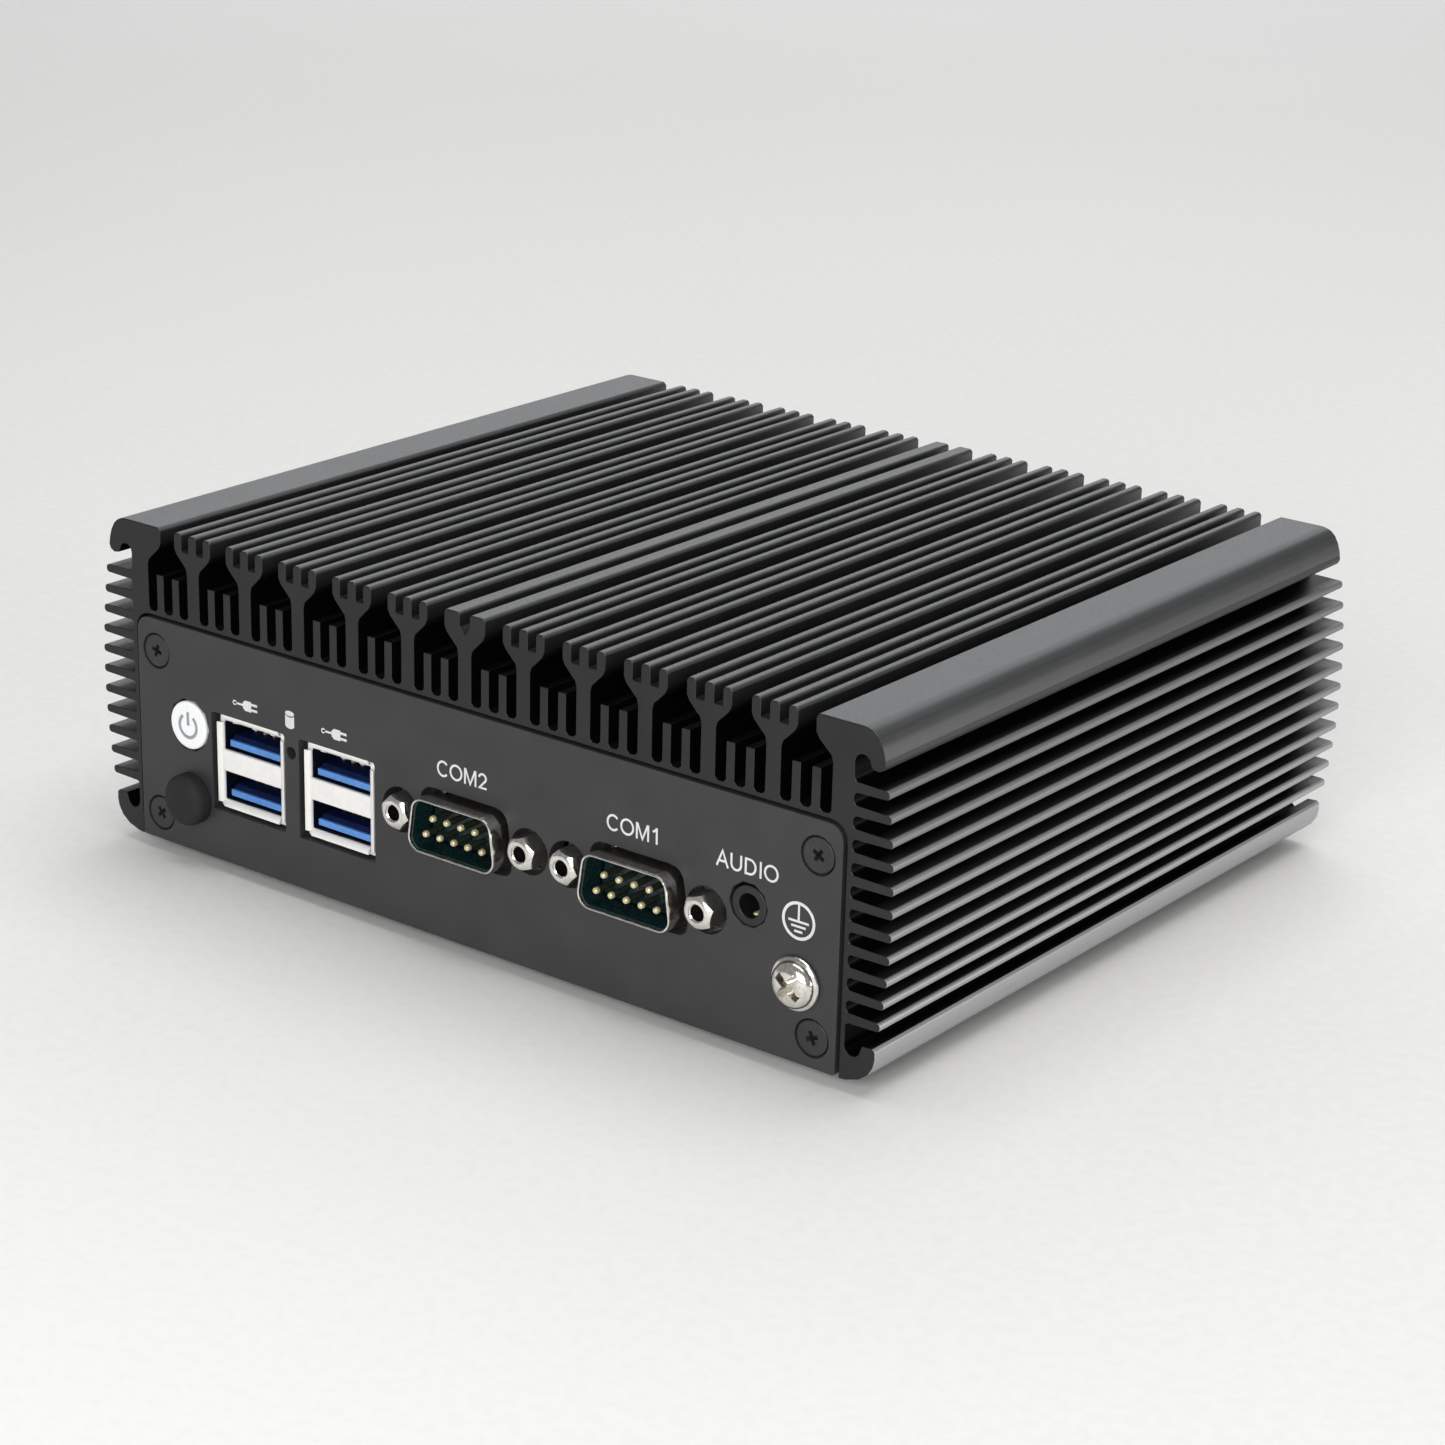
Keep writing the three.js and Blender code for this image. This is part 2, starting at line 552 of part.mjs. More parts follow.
// The socket insulator of the display port: a filled face with a small blind hole for each contact.
function socketBlock(x) {
  const face = PANEL_FACE - DSUB.reach + 0.4;
  const solid = contactBlock(x, face, [], 0, 0);
  const holes = [-1, 0, 1].flatMap((row) => [-2, -1, 0, 1, 2].map((i) => bar(
    0.5, face - 1, face + 2.5, x + (i + row * 0.25) * 2.29, DSUB.depth + row * 1.98, 6,
  )));
  return cut(solid, ...holes);
}

function jackScrew(x) {
  const face = PANEL_FACE - JACK_SCREW.reach;
  const { radius, bore, stud } = JACK_SCREW;
  const hexagon = bar(radius, face + 0.35, FLANGE_FACE - TOUCH, x, DSUB.depth, 6);
  const collar = turned([
    [0, face], [radius * 0.8, face], [radius * 0.86, face + 0.45], [0, face + 0.45],
  ], x, DSUB.depth, 18);
  const shank = bar(stud, FLANGE_FACE - 1, FLANGE_FACE + 4.5, x, DSUB.depth, 12);
  return cut(join(hexagon, collar, shank), bar(bore, face - 1, face + 4, x, DSUB.depth, 12));
}

COM_XS.forEach((x, i) => {
  const name = `com${COM_XS.length - i}`;
  add(`${name}_shell`, portShell(x), LOOK.nickel);
  add(`${name}_contact_block`, contactBlock(x, FLANGE_FACE - 1.5, [4, 5], 2.77, 2.84), LOOK.tealInsert);
  add(`${name}_jack_screw_left`, jackScrew(x - DSUB.jackX), LOOK.nickel);
  add(`${name}_jack_screw_right`, jackScrew(x + DSUB.jackX), LOOK.nickel);
});
add('vga_shell', toBack(portShell(-VGA_X)), LOOK.nickel);
add('vga_socket_block', toBack(socketBlock(-VGA_X)), LOOK.blueInsert);
add('vga_jack_screw_left', toBack(jackScrew(-VGA_X - DSUB.jackX)), LOOK.nickel);
add('vga_jack_screw_right', toBack(jackScrew(-VGA_X + DSUB.jackX)), LOOK.nickel);

// ---------------------------------------------------------------- audio jack
add('audio_jack', cut(
  join(
    bar(AUDIO.barrel, PANEL_FACE + 0.25, PANEL_BACK + 1, AUDIO.x, AUDIO.depth, 20),
    block([AUDIO.x - 3.2, AUDIO.x + 3.2], [PANEL_BACK + 0.4, PANEL_BACK + 12], [BOARD.bottom + TOUCH, AUDIO.depth + 2.8]),
  ),
  bar(AUDIO.bore, PANEL_FACE - 1, PANEL_BACK + 10.5, AUDIO.x, AUDIO.depth, 16),
), LOOK.blackPlastic);

// ---------------------------------------------------------------- grounding screw with its flanged head
function groundScrew() {
  const { flange, head, proud, shank, x, depth } = GROUND;
  const face = PANEL_FACE - proud;
  const seat = PANEL_FACE - TOUCH;
  const body = turned([
    [0, face], [head * 0.55, face + 0.12], [head * 0.87, face + 0.6], [head, face + 1.2], [head, seat - 0.7],
    [flange, seat - 0.6], [flange, seat], [shank, seat], [shank, PANEL_BACK + 4], [0, PANEL_BACK + 4],
  ], x, depth, 22);
  const arms = [[4.6, 1.1], [1.1, 4.6]].map(([width, height]) => new THREE.BoxGeometry(width, 3.2, height)
    .translate(x, face, below(depth)));
  return cut(body, ...arms);
}

add('ground_screw', groundScrew(), LOOK.nickel);

// ---------------------------------------------------------------- rear ports, drawn facing front and turned
function dcInlet(x) {
  const { depth, collar, bore, pin } = DC_IN;
  const barrel = bar(collar, PANEL_FACE + 0.3, PANEL_BACK + 1, x, depth, 20);
  const body = block([x - 4.6, x + 4.6], [PANEL_BACK + 0.4, PANEL_BACK + 14], [BOARD.bottom + TOUCH, depth + 5.4]);
  const hollow = cut(join(barrel, body), bar(bore, PANEL_FACE - 1, PANEL_BACK + 8, x, depth, 20));
  return join(hollow, bar(pin, PANEL_FACE + 1.8, PANEL_BACK + 9, x, depth, 12));
}

function hdmiPort(x) {
  const { depth, width, height, mouthWidth, mouthHeight } = HDMI;
  const face = PANEL_FACE + 0.3;
  const outer = block([x - width / 2, x + width / 2], [face, face + 12], [BOARD.bottom + TOUCH, depth + height / 2]);
  const [w, h] = [mouthWidth / 2, mouthHeight / 2];
  const mouth = rounded([
    [x - w, depth - h, 0.3], [x + w, depth - h, 0.3], [x + w, depth + h - 1.4, 0.3], [x + w - 1.3, depth + h, 0.3],
    [x - w + 1.3, depth + h, 0.3], [x - w, depth + h - 1.4, 0.3],
  ]);
  const hollow = cut(outer, plate(mouth, face - 1, face + 8, 2));
  return join(hollow, block([x - w + 2, x + w - 2], [face + 1.2, face + 9], [depth - 0.6, depth + 0.5]));
}

function lanPort(x) {
  const face = PANEL_FACE + 0.2;
  const { width, height, deep, mouthWidth, mouthHeight, mouthDeep } = LAN;
  const top = BOARD.bottom + TOUCH;
  const outer = block([x - width / 2, x + width / 2], [face, face + deep], [top, top + height]);
  const mouth = block(
    [x - mouthWidth / 2, x + mouthWidth / 2], [face - 1, face + mouthDeep],
    [top + height - 1.6 - mouthHeight, top + height - 1.6],
  );
  const notch = block([x - 3.2, x + 3.2], [face - 1, face + mouthDeep - 3], [top + 2.2, top + 5]);
  return cut(outer, mouth, notch);
}

add('dc_power_inlet', toBack(dcInlet(-DC_IN.x)), LOOK.blackPlastic);
add('hdmi_port', toBack(hdmiPort(-HDMI.x)), LOOK.nickel);
LAN_XS.forEach((x, i) => add(`lan_port_${i + 1}`, toBack(lanPort(-x)), LOOK.nickel));

// ---------------------------------------------------------------- mainboard and what it carries
function mainboard() {
  const sheet = block([-BOARD.half, BOARD.half], [BOARD_FRONT, -BOARD_FRONT], [BOARD.top, BOARD.bottom]);
  const holes = coverCorners.map(([sx, sy]) => post(
    1.6, BOARD.top - 1, BOARD.bottom + 1, sx * BOARD.postX, sy * BOARD.postY, 12,
  ));
  return cut(sheet, ...holes);
}

add('mainboard', mainboard(), LOOK.board);
coverCorners.forEach(([sx, sy], i) => {
  const [x, y] = [sx * BOARD.postX, sy * BOARD.postY];
  const pillar = post(BOARD.postRadius, CEILING + TOUCH, BOARD.top - TOUCH, x, y, 6);
  const stud = post(1.3, BOARD.top - 1, BOARD.bottom + 2, x, y, 10);
  add(`board_standoff_${i + 1}`, join(pillar, stud), LOOK.nickel);
});

const CPU_TOP = BOARD.top - TOUCH - CPU.thick;
const centred = (middle, size) => [middle - size / 2, middle + size / 2];

add('processor', join(
  block(centred(CPU.x, CPU.size), centred(CPU.y, CPU.size), [CPU_TOP + 0.7, BOARD.top - TOUCH]),
  block(centred(CPU.x, 12), centred(CPU.y, 9), [CPU_TOP, CPU_TOP + 1]),
), LOOK.silicon);
add('heat_transfer_block', block(
  centred(CPU.x, HEAT_BLOCK.width), centred(CPU.y, HEAT_BLOCK.depth), [CEILING + TOUCH, CPU_TOP - TOUCH],
), LOOK.copper);

const UNDER = BOARD.bottom + TOUCH;
add('memory_socket', join(
  block([-35, 35], [-14, -8], [UNDER, UNDER + 5.2]),
  block([-35, -34.2], [-9, 16], [UNDER, UNDER + 3.6]),
  block([34.2, 35], [-9, 16], [UNDER, UNDER + 3.6]),
), LOOK.blackPlastic);
add('memory_module', join(
  block([-33.8, 33.8], [-7.9, 21], [UNDER + 1.6, UNDER + 2.8]),
  ...[-24, -10, 10, 24].map((x) => block([x - 5, x + 5], [-2, 12], [UNDER + 2.5, UNDER + 3.8])),
), LOOK.board);
add('wireless_card', join(
  block([38, 60], [8, 11], [UNDER, UNDER + 2.6]),
  block([38, 60], [8, 34], [UNDER + 1.4, UNDER + 2.2]),
  block([41, 57], [14, 28], [UNDER + 2, UNDER + 3.6]),
), LOOK.board);
add('coin_cell', post(10, UNDER, UNDER + 3.2, 44, -24, 28), LOOK.drive);

function storageDrive() {
  const { x, y, width, depth, thick } = DRIVE;
  const bottom = COVER.top - TOUCH;
  const shell = block(centred(x, width), centred(y, depth), [bottom - thick, bottom]);
  const socket = block([x - 22, x + 22], [y + depth / 2 - 3, y + depth / 2 + 1], [bottom - 5, bottom - 2]);
  return cut(shell, socket);
}

add('storage_drive', storageDrive(), LOOK.drive);

export default group;
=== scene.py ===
"""Looks of a fanless mini computer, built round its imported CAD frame.

Shapes are drawn in millimetres, as seen from the front: x to the right, y to the back, z up.
"""

import math

import bmesh
import bpy
from mathutils import Matrix, Vector


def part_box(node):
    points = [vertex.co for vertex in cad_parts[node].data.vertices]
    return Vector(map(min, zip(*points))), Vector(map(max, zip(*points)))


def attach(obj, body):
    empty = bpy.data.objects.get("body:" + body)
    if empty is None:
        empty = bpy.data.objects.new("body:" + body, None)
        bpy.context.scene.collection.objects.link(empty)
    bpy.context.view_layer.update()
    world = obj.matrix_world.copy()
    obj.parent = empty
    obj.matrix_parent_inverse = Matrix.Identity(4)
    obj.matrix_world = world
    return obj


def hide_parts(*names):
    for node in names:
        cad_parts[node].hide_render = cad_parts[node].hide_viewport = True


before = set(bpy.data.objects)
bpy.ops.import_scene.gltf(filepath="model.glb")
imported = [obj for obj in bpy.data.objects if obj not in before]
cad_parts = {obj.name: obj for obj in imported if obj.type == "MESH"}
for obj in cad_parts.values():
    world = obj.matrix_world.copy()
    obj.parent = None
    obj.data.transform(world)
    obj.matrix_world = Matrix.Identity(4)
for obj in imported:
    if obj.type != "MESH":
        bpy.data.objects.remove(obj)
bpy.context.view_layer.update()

MM = 0.001
CASE, KEY = "case", "power_key"


def low(node):
    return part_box(node)[0] / MM


def high(node):
    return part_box(node)[1] / MM


def middle(node):
    return (low(node) + high(node)) / 2


def seen_x(node, back=False):
    """The x of a node's middle, for a viewer who faces the front or the rear panel."""
    return -middle(node).x if back else middle(node).x


PANEL_FACE = low("front_panel").y
PANEL_BACK = high("front_panel").y

# ------------------------------------------------------------------ materials


def linear(value):
    """An 8-bit screen value as linear light."""
    value = value / 255
    return value / 12.92 if value <= 0.04045 else ((value + 0.055) / 1.055) ** 2.4


def shade(*rgb):
    return tuple(linear(value) for value in (rgb if len(rgb) == 3 else rgb * 3)) + (1.0,)


# a noise texture gives hardly any values outside this range
NOISE_RANGE = (0.3, 0.7)
GRAIN_SHARE = 0.25
GRAIN_RELIEF = 0.02


def surface(name, dark, light, rough, metallic=0.0, grain=0.25, bump=0.1, patch=9.0, stretch=(1, 1, 1),
            specular=0.5, coat=0.0):
    """A surface whose colour drifts between two tones, with a fine grain in its gloss and relief."""
    material = bpy.data.materials.new(name)
    material.use_nodes = True
    nodes, links = material.node_tree.nodes, material.node_tree.links
    shader = nodes["Principled BSDF"]
    shader.inputs["Metallic"].default_value = metallic
    shader.inputs["Specular IOR Level"].default_value = specular
    shader.inputs["Coat Weight"].default_value = coat
    shader.inputs["Coat Roughness"].default_value = 0.15
    place = nodes.new("ShaderNodeTexCoord")
    mapping = nodes.new("ShaderNodeMapping")
    mapping.inputs["Scale"].default_value = stretch
    links.new(place.outputs["Object"], mapping.inputs["Vector"])

    def noise(size, detail):
        node = nodes.new("ShaderNodeTexNoise")
        node.inputs["Scale"].default_value = 1 / (size * MM)
        node.inputs["Detail"].default_value = detail
        links.new(mapping.outputs["Vector"], node.inputs["Vector"])
        return node.outputs["Fac"]

    def spread(value, first, last):
        """A noise, spread over another range of values."""
        node = nodes.new("ShaderNodeMapRange")
        node.inputs["From Min"].default_value, node.inputs["From Max"].default_value = NOISE_RANGE
        node.inputs["To Min"].default_value, node.inputs["To Max"].default_value = first, last
        links.new(value, node.inputs["Value"])
        return node.outputs["Result"]

    patches, grains = noise(patch, 4), noise(grain, 3)
    blend = nodes.new("ShaderNodeMath")
    blend.operation = "ADD"
    links.new(patches, blend.inputs[0])
    links.new(spread(grains, -GRAIN_SHARE, GRAIN_SHARE), blend.inputs[1])
    ramp = nodes.new("ShaderNodeValToRGB")
    for k, tone in enumerate((dark, light)):
        ramp.color_ramp.elements[k].position = NOISE_RANGE[k]
        ramp.color_ramp.elements[k].color = tone
    links.new(blend.outputs["Value"], ramp.inputs["Fac"])
    links.new(ramp.outputs["Color"], shader.inputs["Base Color"])
    links.new(spread(grains, *rough), shader.inputs["Roughness"])
    relief = nodes.new("ShaderNodeBump")
    relief.inputs["Strength"].default_value = bump
    relief.inputs["Distance"].default_value = GRAIN_RELIEF * MM
    links.new(grains, relief.inputs["Height"])
    links.new(relief.outputs["Normal"], shader.inputs["Normal"])
    return material


ANODISED = surface("anodised_case", shade(20, 21, 22), shade(30, 31, 33), (0.4, 0.52), grain=0.3, bump=0.6,
                   specular=1.0)
PANEL = surface("panel_coat", shade(42, 42, 43), shade(50, 50, 51), (0.45, 0.56), grain=0.35, bump=0.3)
BLACK_SCREW = surface("black_screw", shade(44), shade(56), (0.35, 0.45), metallic=0.3, grain=0.4)
RUBBER = surface("rubber", shade(34), shade(42), (0.62, 0.75), grain=0.3, bump=0.3, specular=0.2)
WHITE = surface("white_plastic", shade(240, 241, 242), shade(248, 249, 250), (0.28, 0.36), coat=0.3,
                bump=0.03)
RING_GREY = surface("ring_print", shade(142, 144, 150), shade(160, 162, 168), (0.4, 0.5), grain=0.15)
BLACK_PLASTIC = surface("black_plastic", shade(18), shade(26), (0.35, 0.45), grain=0.3, bump=0.15)
NICKEL = surface("nickel", shade(218, 215, 208), shade(240, 238, 233), (0.17, 0.25), metallic=0.97,
                 patch=2.5, grain=0.5, bump=0.05)
PLATING = surface("bright_plating", shade(216, 212, 204), shade(240, 237, 230), (0.15, 0.22), metallic=1.0,
                  patch=2.5, grain=0.5, bump=0.05)
# near-black: painted shade inside the jack screws' bores
BORE_SHADE = surface("painted_bore_shade", shade(16), shade(30), (0.3, 0.45), metallic=0.6, grain=0.2)
SHEET = surface("stamped_sheet", shade(242, 240, 236), shade(247, 246, 243), (0.3, 0.36), metallic=0.35,
                patch=4, grain=1.2, bump=0.02)
# a dark blue: the display socket's own blue, and the USB tongues' blue in painted shade
BLUE_AND_TONGUE_SHADE = surface("blue_insert", shade(6, 18, 52), shade(10, 28, 74), (0.35, 0.5), grain=0.3, specular=0.25)
# a near-black navy: painted shade inside the USB mouths
SHADE_NAVY = surface("painted_shade_sheet", shade(5, 9, 20), shade(9, 15, 30), (0.35, 0.5), grain=0.3, specular=0.3)
# a bright blue: the USB tongues' blue in painted light, for their front edges
LIT_TONGUE_BLUE = surface("painted_light_tongue_blue", shade(70, 124, 196), shade(88, 144, 214), (0.3, 0.42), grain=0.3)
TEAL = surface("teal_insert", shade(10, 30, 32), shade(16, 42, 44), (0.22, 0.3), grain=0.6, bump=0.05)
GOLD = surface("gold_contact", shade(206, 194, 148), shade(236, 226, 188), (0.25, 0.36), metallic=0.5,
               patch=1)
# the pins' gold in painted shade, for their shafts deep in the shell
SHADED_GOLD = surface("gold_in_painted_shade", shade(40, 46, 36), shade(58, 62, 46), (0.3, 0.42), metallic=0.4, patch=1)
LAMP = surface("lamp", shade(14), shade(24), (0.15, 0.25), grain=0.3, specular=0.7)
BOARD = surface("circuit_board", shade(12, 62, 38), shade(24, 84, 54), (0.3, 0.5), grain=0.5, patch=3)
CHIP = surface("chip", shade(24), shade(38), (0.3, 0.5), grain=0.2)
HEAT_BLOCK = surface("heat_block", shade(196), shade(214), (0.25, 0.35), metallic=1.0, stretch=(1, 6, 1))
DRIVE = surface("drive_case", shade(150), shade(170), (0.3, 0.42), metallic=0.9, stretch=(1, 5, 1))
INK = surface("legend_ink", shade(204, 205, 204), shade(222, 223, 222), (0.45, 0.55), grain=0.12, bump=0.1)
GREEN_LAMP = surface("green_lamp", shade(60, 150, 70), shade(96, 190, 100), (0.2, 0.3))
AMBER_LAMP = surface("amber_lamp", shade(200, 140, 40), shade(226, 170, 70), (0.2, 0.3))

# ------------------------------------------------------------------ mesh tools


def mesh_from(bm):
    bmesh.ops.recalc_face_normals(bm, faces=bm.faces)
    mesh = bpy.data.meshes.new("shape")
    bm.to_mesh(mesh)
    bm.free()
    return mesh


def moved(mesh, x=0.0, y=0.0, z=0.0):
    mesh.transform(Matrix.Translation((x, y, z)))
    return mesh


def piece(name, mesh, material, body=CASE, replaces=(), back=False, sharp=32):
    """Puts a mesh drawn in millimetres into the scene; back turns it from the front to the rear panel."""
    if back:
        mesh.transform(Matrix.Rotation(math.pi, 4, "Z"))
    mesh.transform(Matrix.Scale(MM, 4))
    mesh.polygons.foreach_set("use_smooth", [True] * len(mesh.polygons))
    mesh.set_sharp_from_angle(angle=math.radians(sharp))
    mesh.materials.clear()
    mesh.materials.append(material)
    obj = bpy.data.objects.new(name, mesh)
    bpy.context.scene.collection.objects.link(obj)
    weighted = obj.modifiers.new("flat_faces", "WEIGHTED_NORMAL")
    weighted.keep_sharp = True
    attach(obj, body)
    if replaces:
        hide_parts(*replaces)
    return obj


def evaluated_copy(obj):
    bpy.context.view_layer.update()
    graph = bpy.context.evaluated_depsgraph_get()
    mesh = bpy.data.meshes.new_from_object(obj.evaluated_get(graph))
    bpy.data.objects.remove(obj)
    return mesh


def temporary(data):
    obj = bpy.data.objects.new("temporary", data)
    bpy.context.scene.collection.objects.link(obj)
    return obj


def combine(mesh, *tools, how="DIFFERENCE"):
    """The mesh after each tool has been cut from it, or kept as its overlap."""
    target = temporary(mesh)
    cutters = [temporary(tool) for tool in tools]
    for cutter in cutters:
        change = target.modifiers.new("change", "BOOLEAN")
        change.operation, change.solver, change.object = how, "EXACT", cutter
    result = evaluated_copy(target)
    for cutter in cutters:
        bpy.data.objects.remove(cutter)
    return result


def together(*meshes):
    bm = bmesh.new()
    for mesh in meshes:
        bm.from_mesh(mesh)
    mesh = bpy.data.meshes.new("shape")
    bm.to_mesh(mesh)
    bm.free()
    return mesh


def rings(loops, cap=True):
    """Skins a list of point loops of equal length; a loop of one point is a tip."""
    bm = bmesh.new()
    rows = [[bm.verts.new(point) for point in loop] for loop in loops]
    for a, b in zip(rows, rows[1:]):
        count = max(len(a), len(b))
        for i in range(count):
            j = (i + 1) % count
            corners = [a[i % len(a)], b[i % len(b)], b[j % len(b)], a[j % len(a)]]
            unique = list(dict.fromkeys(corners))
            if len(unique) > 2:
                bm.faces.new(unique)
    if cap:
        for row in (rows[0], rows[-1]):
            if len(row) > 2:
                bm.faces.new(row)
    return mesh_from(bm)


def circle(radius, y, sides):
    """A loop of points round the y axis, or one point on it."""
    if radius < 1e-6:
        return [(0, y, 0)]
    return [(radius * math.cos(a), y, radius * math.sin(a)) for a in
            (2 * math.pi * i / sides for i in range(sides))]


def fillet(points, radius):
    """An open line of points with its inner corners rounded."""
    steps, most = 4, 0.45
    points = [Vector(point) for point in points]
    line = [points[0]]
    for before, corner, after in zip(points, points[1:], points[2:]):
        reach = min(radius, (before - corner).length * most, (after - corner).length * most)
        start = corner + (before - corner).normalized() * reach
        end = corner + (after - corner).normalized() * reach
        for i in range(steps + 1):
            t = i / steps
            line.append(start * (1 - t) ** 2 + corner * 2 * t * (1 - t) + end * t * t)
    return [tuple(point) for point in line + [points[-1]]]


def turned(profile, sides=56, soft=0.0):
    """A piece turned on the y axis from [radius, y] points."""
    line = fillet(profile, soft) if soft else profile
    return rings([circle(radius, y, sides) for radius, y in line], cap=False)


def bar(radius, y0, y1, sides=32, soft=0.0):
    return turned([(0, y0), (radius, y0), (radius, y1), (0, y1)], sides, soft)


def brick(x, y, z, soft=0.0):
    """A box between two x, two y and two z, with bevelled edges."""
    bm = bmesh.new()
    bmesh.ops.create_cube(bm, size=1)
    centre = Vector([(a + b) / 2 for a, b in (x, y, z)])
    size = Vector([b - a for a, b in (x, y, z)])
    for vertex in bm.verts:
        vertex.co = Vector([c * s for c, s in zip(vertex.co, size)]) + centre
    if soft:
        bmesh.ops.bevel(bm, geom=bm.edges[:], offset=soft, segments=2, profile=0.6, affect="EDGES")
    return mesh_from(bm)


def round_corners(points, radius, steps):
    """A closed outline of (x, z) points with true arcs at its corners."""
    outline = []
    points = [Vector(point) for point in points]
    for i, corner in enumerate(points):
        a = (points[i - 1] - corner).normalized()
        b = (points[(i + 1) % len(points)] - corner).normalized()
        half = math.acos(max(-1, min(1, a.dot(b)))) / 2
        centre = corner + (a + b).normalized() * (radius / math.sin(half))
        reach = radius / math.tan(half)
        start, end = corner + a * reach - centre, corner + b * reach - centre
        sweep = start.angle_signed(end)
        for k in range(steps + 1):
            turn = Matrix.Rotation(-sweep * k / steps, 2)
            outline.append(tuple(centre + turn @ start))
    return outline


def plate(outlines, y0, y1, edge=0.0):
    """A flat sheet across y; outlines inside the first one are its holes."""
    curve = bpy.data.curves.new("outline", "CURVE")
    curve.dimensions, curve.fill_mode = "2D", "BOTH"
    for outline in outlines:
        spline = curve.splines.new("POLY")
        spline.points.add(len(outline) - 1)
        for point, (x, z) in zip(spline.points, outline):
            point.co = (x, z, 0, 1)
        spline.use_cyclic_u = True
    curve.extrude = (y1 - y0) / 2 - edge
    curve.bevel_depth, curve.offset, curve.bevel_resolution = edge, -edge, 2
    mesh = evaluated_copy(temporary(curve))
    mesh.transform(Matrix.Translation((0, (y0 + y1) / 2, 0)) @ Matrix.Rotation(math.pi / 2, 4, "X"))
    bm = bmesh.new()
    bm.from_mesh(mesh)
    bmesh.ops.remove_doubles(bm, verts=bm.verts, dist=1e-4)
    return mesh_from(bm)


def ellipse(x, z, rx, rz, sides=40):
    angles = (2 * math.pi * i / sides for i in range(sides))
    return [(x + rx * math.cos(a), z + rz * math.sin(a)) for a in angles]


def rectangle(x0, x1, z0, z1, radius=0.0):
    corners = [(x0, z0), (x1, z0), (x1, z1), (x0, z1)]
    return round_corners(corners, radius, 4) if radius else corners


def copied(node):
    """A CAD node's mesh in millimetres, with flat areas joined into single faces."""
    weld, flat_turn = 2e-3, 0.6
    bm = bmesh.new()
    bm.from_mesh(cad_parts[node].data)
    bmesh.ops.scale(bm, vec=(1 / MM,) * 3, verts=bm.verts)
    bmesh.ops.remove_doubles(bm, verts=bm.verts, dist=weld)
    bmesh.ops.dissolve_limit(bm, angle_limit=math.radians(flat_turn), verts=bm.verts, edges=bm.edges)
    bmesh.ops.recalc_face_normals(bm, faces=bm.faces)
    return bm


SHARP_TURN = 24


def turn_of(edge):
    """How far the surface turns at an edge, in degrees; an inner corner is negative."""
    return math.degrees(edge.calc_face_angle_signed(0)) if len(edge.link_faces) == 2 else 0


def rounded_copy(node, width):
    """A CAD node's mesh with its sharp edges softly rounded."""
    bm = copied(node)
    edges = [edge for edge in bm.edges if abs(turn_of(edge)) > SHARP_TURN]
    bmesh.ops.bevel(bm, geom=edges, offset=width, segments=2, profile=0.5, affect="EDGES")
    return mesh_from(bm)


def softened(node, width, material):
    """Stands for a CAD node with the same shape and softly rounded edges."""
    piece(node + "_finish", rounded_copy(node, width), material, replaces=[node])


# ------------------------------------------------------------------ case, panels and cover
# places on the case's section are distances from its middle plane and depths below its top
TOP = high("chassis_extrusion").z
CASE_END = high("chassis_extrusion").y
SIDE_WALL = 70.2
SIDE_FINS = (7, 46)
# painted shade for the fins' gaps, and a painted reflection of the floor for the side fins' tips and lower
# hooks
PAINTED_GAP_SHADE, PAINTED_FLOOR_REFLECTION = shade(4), shade(196, 195, 198)


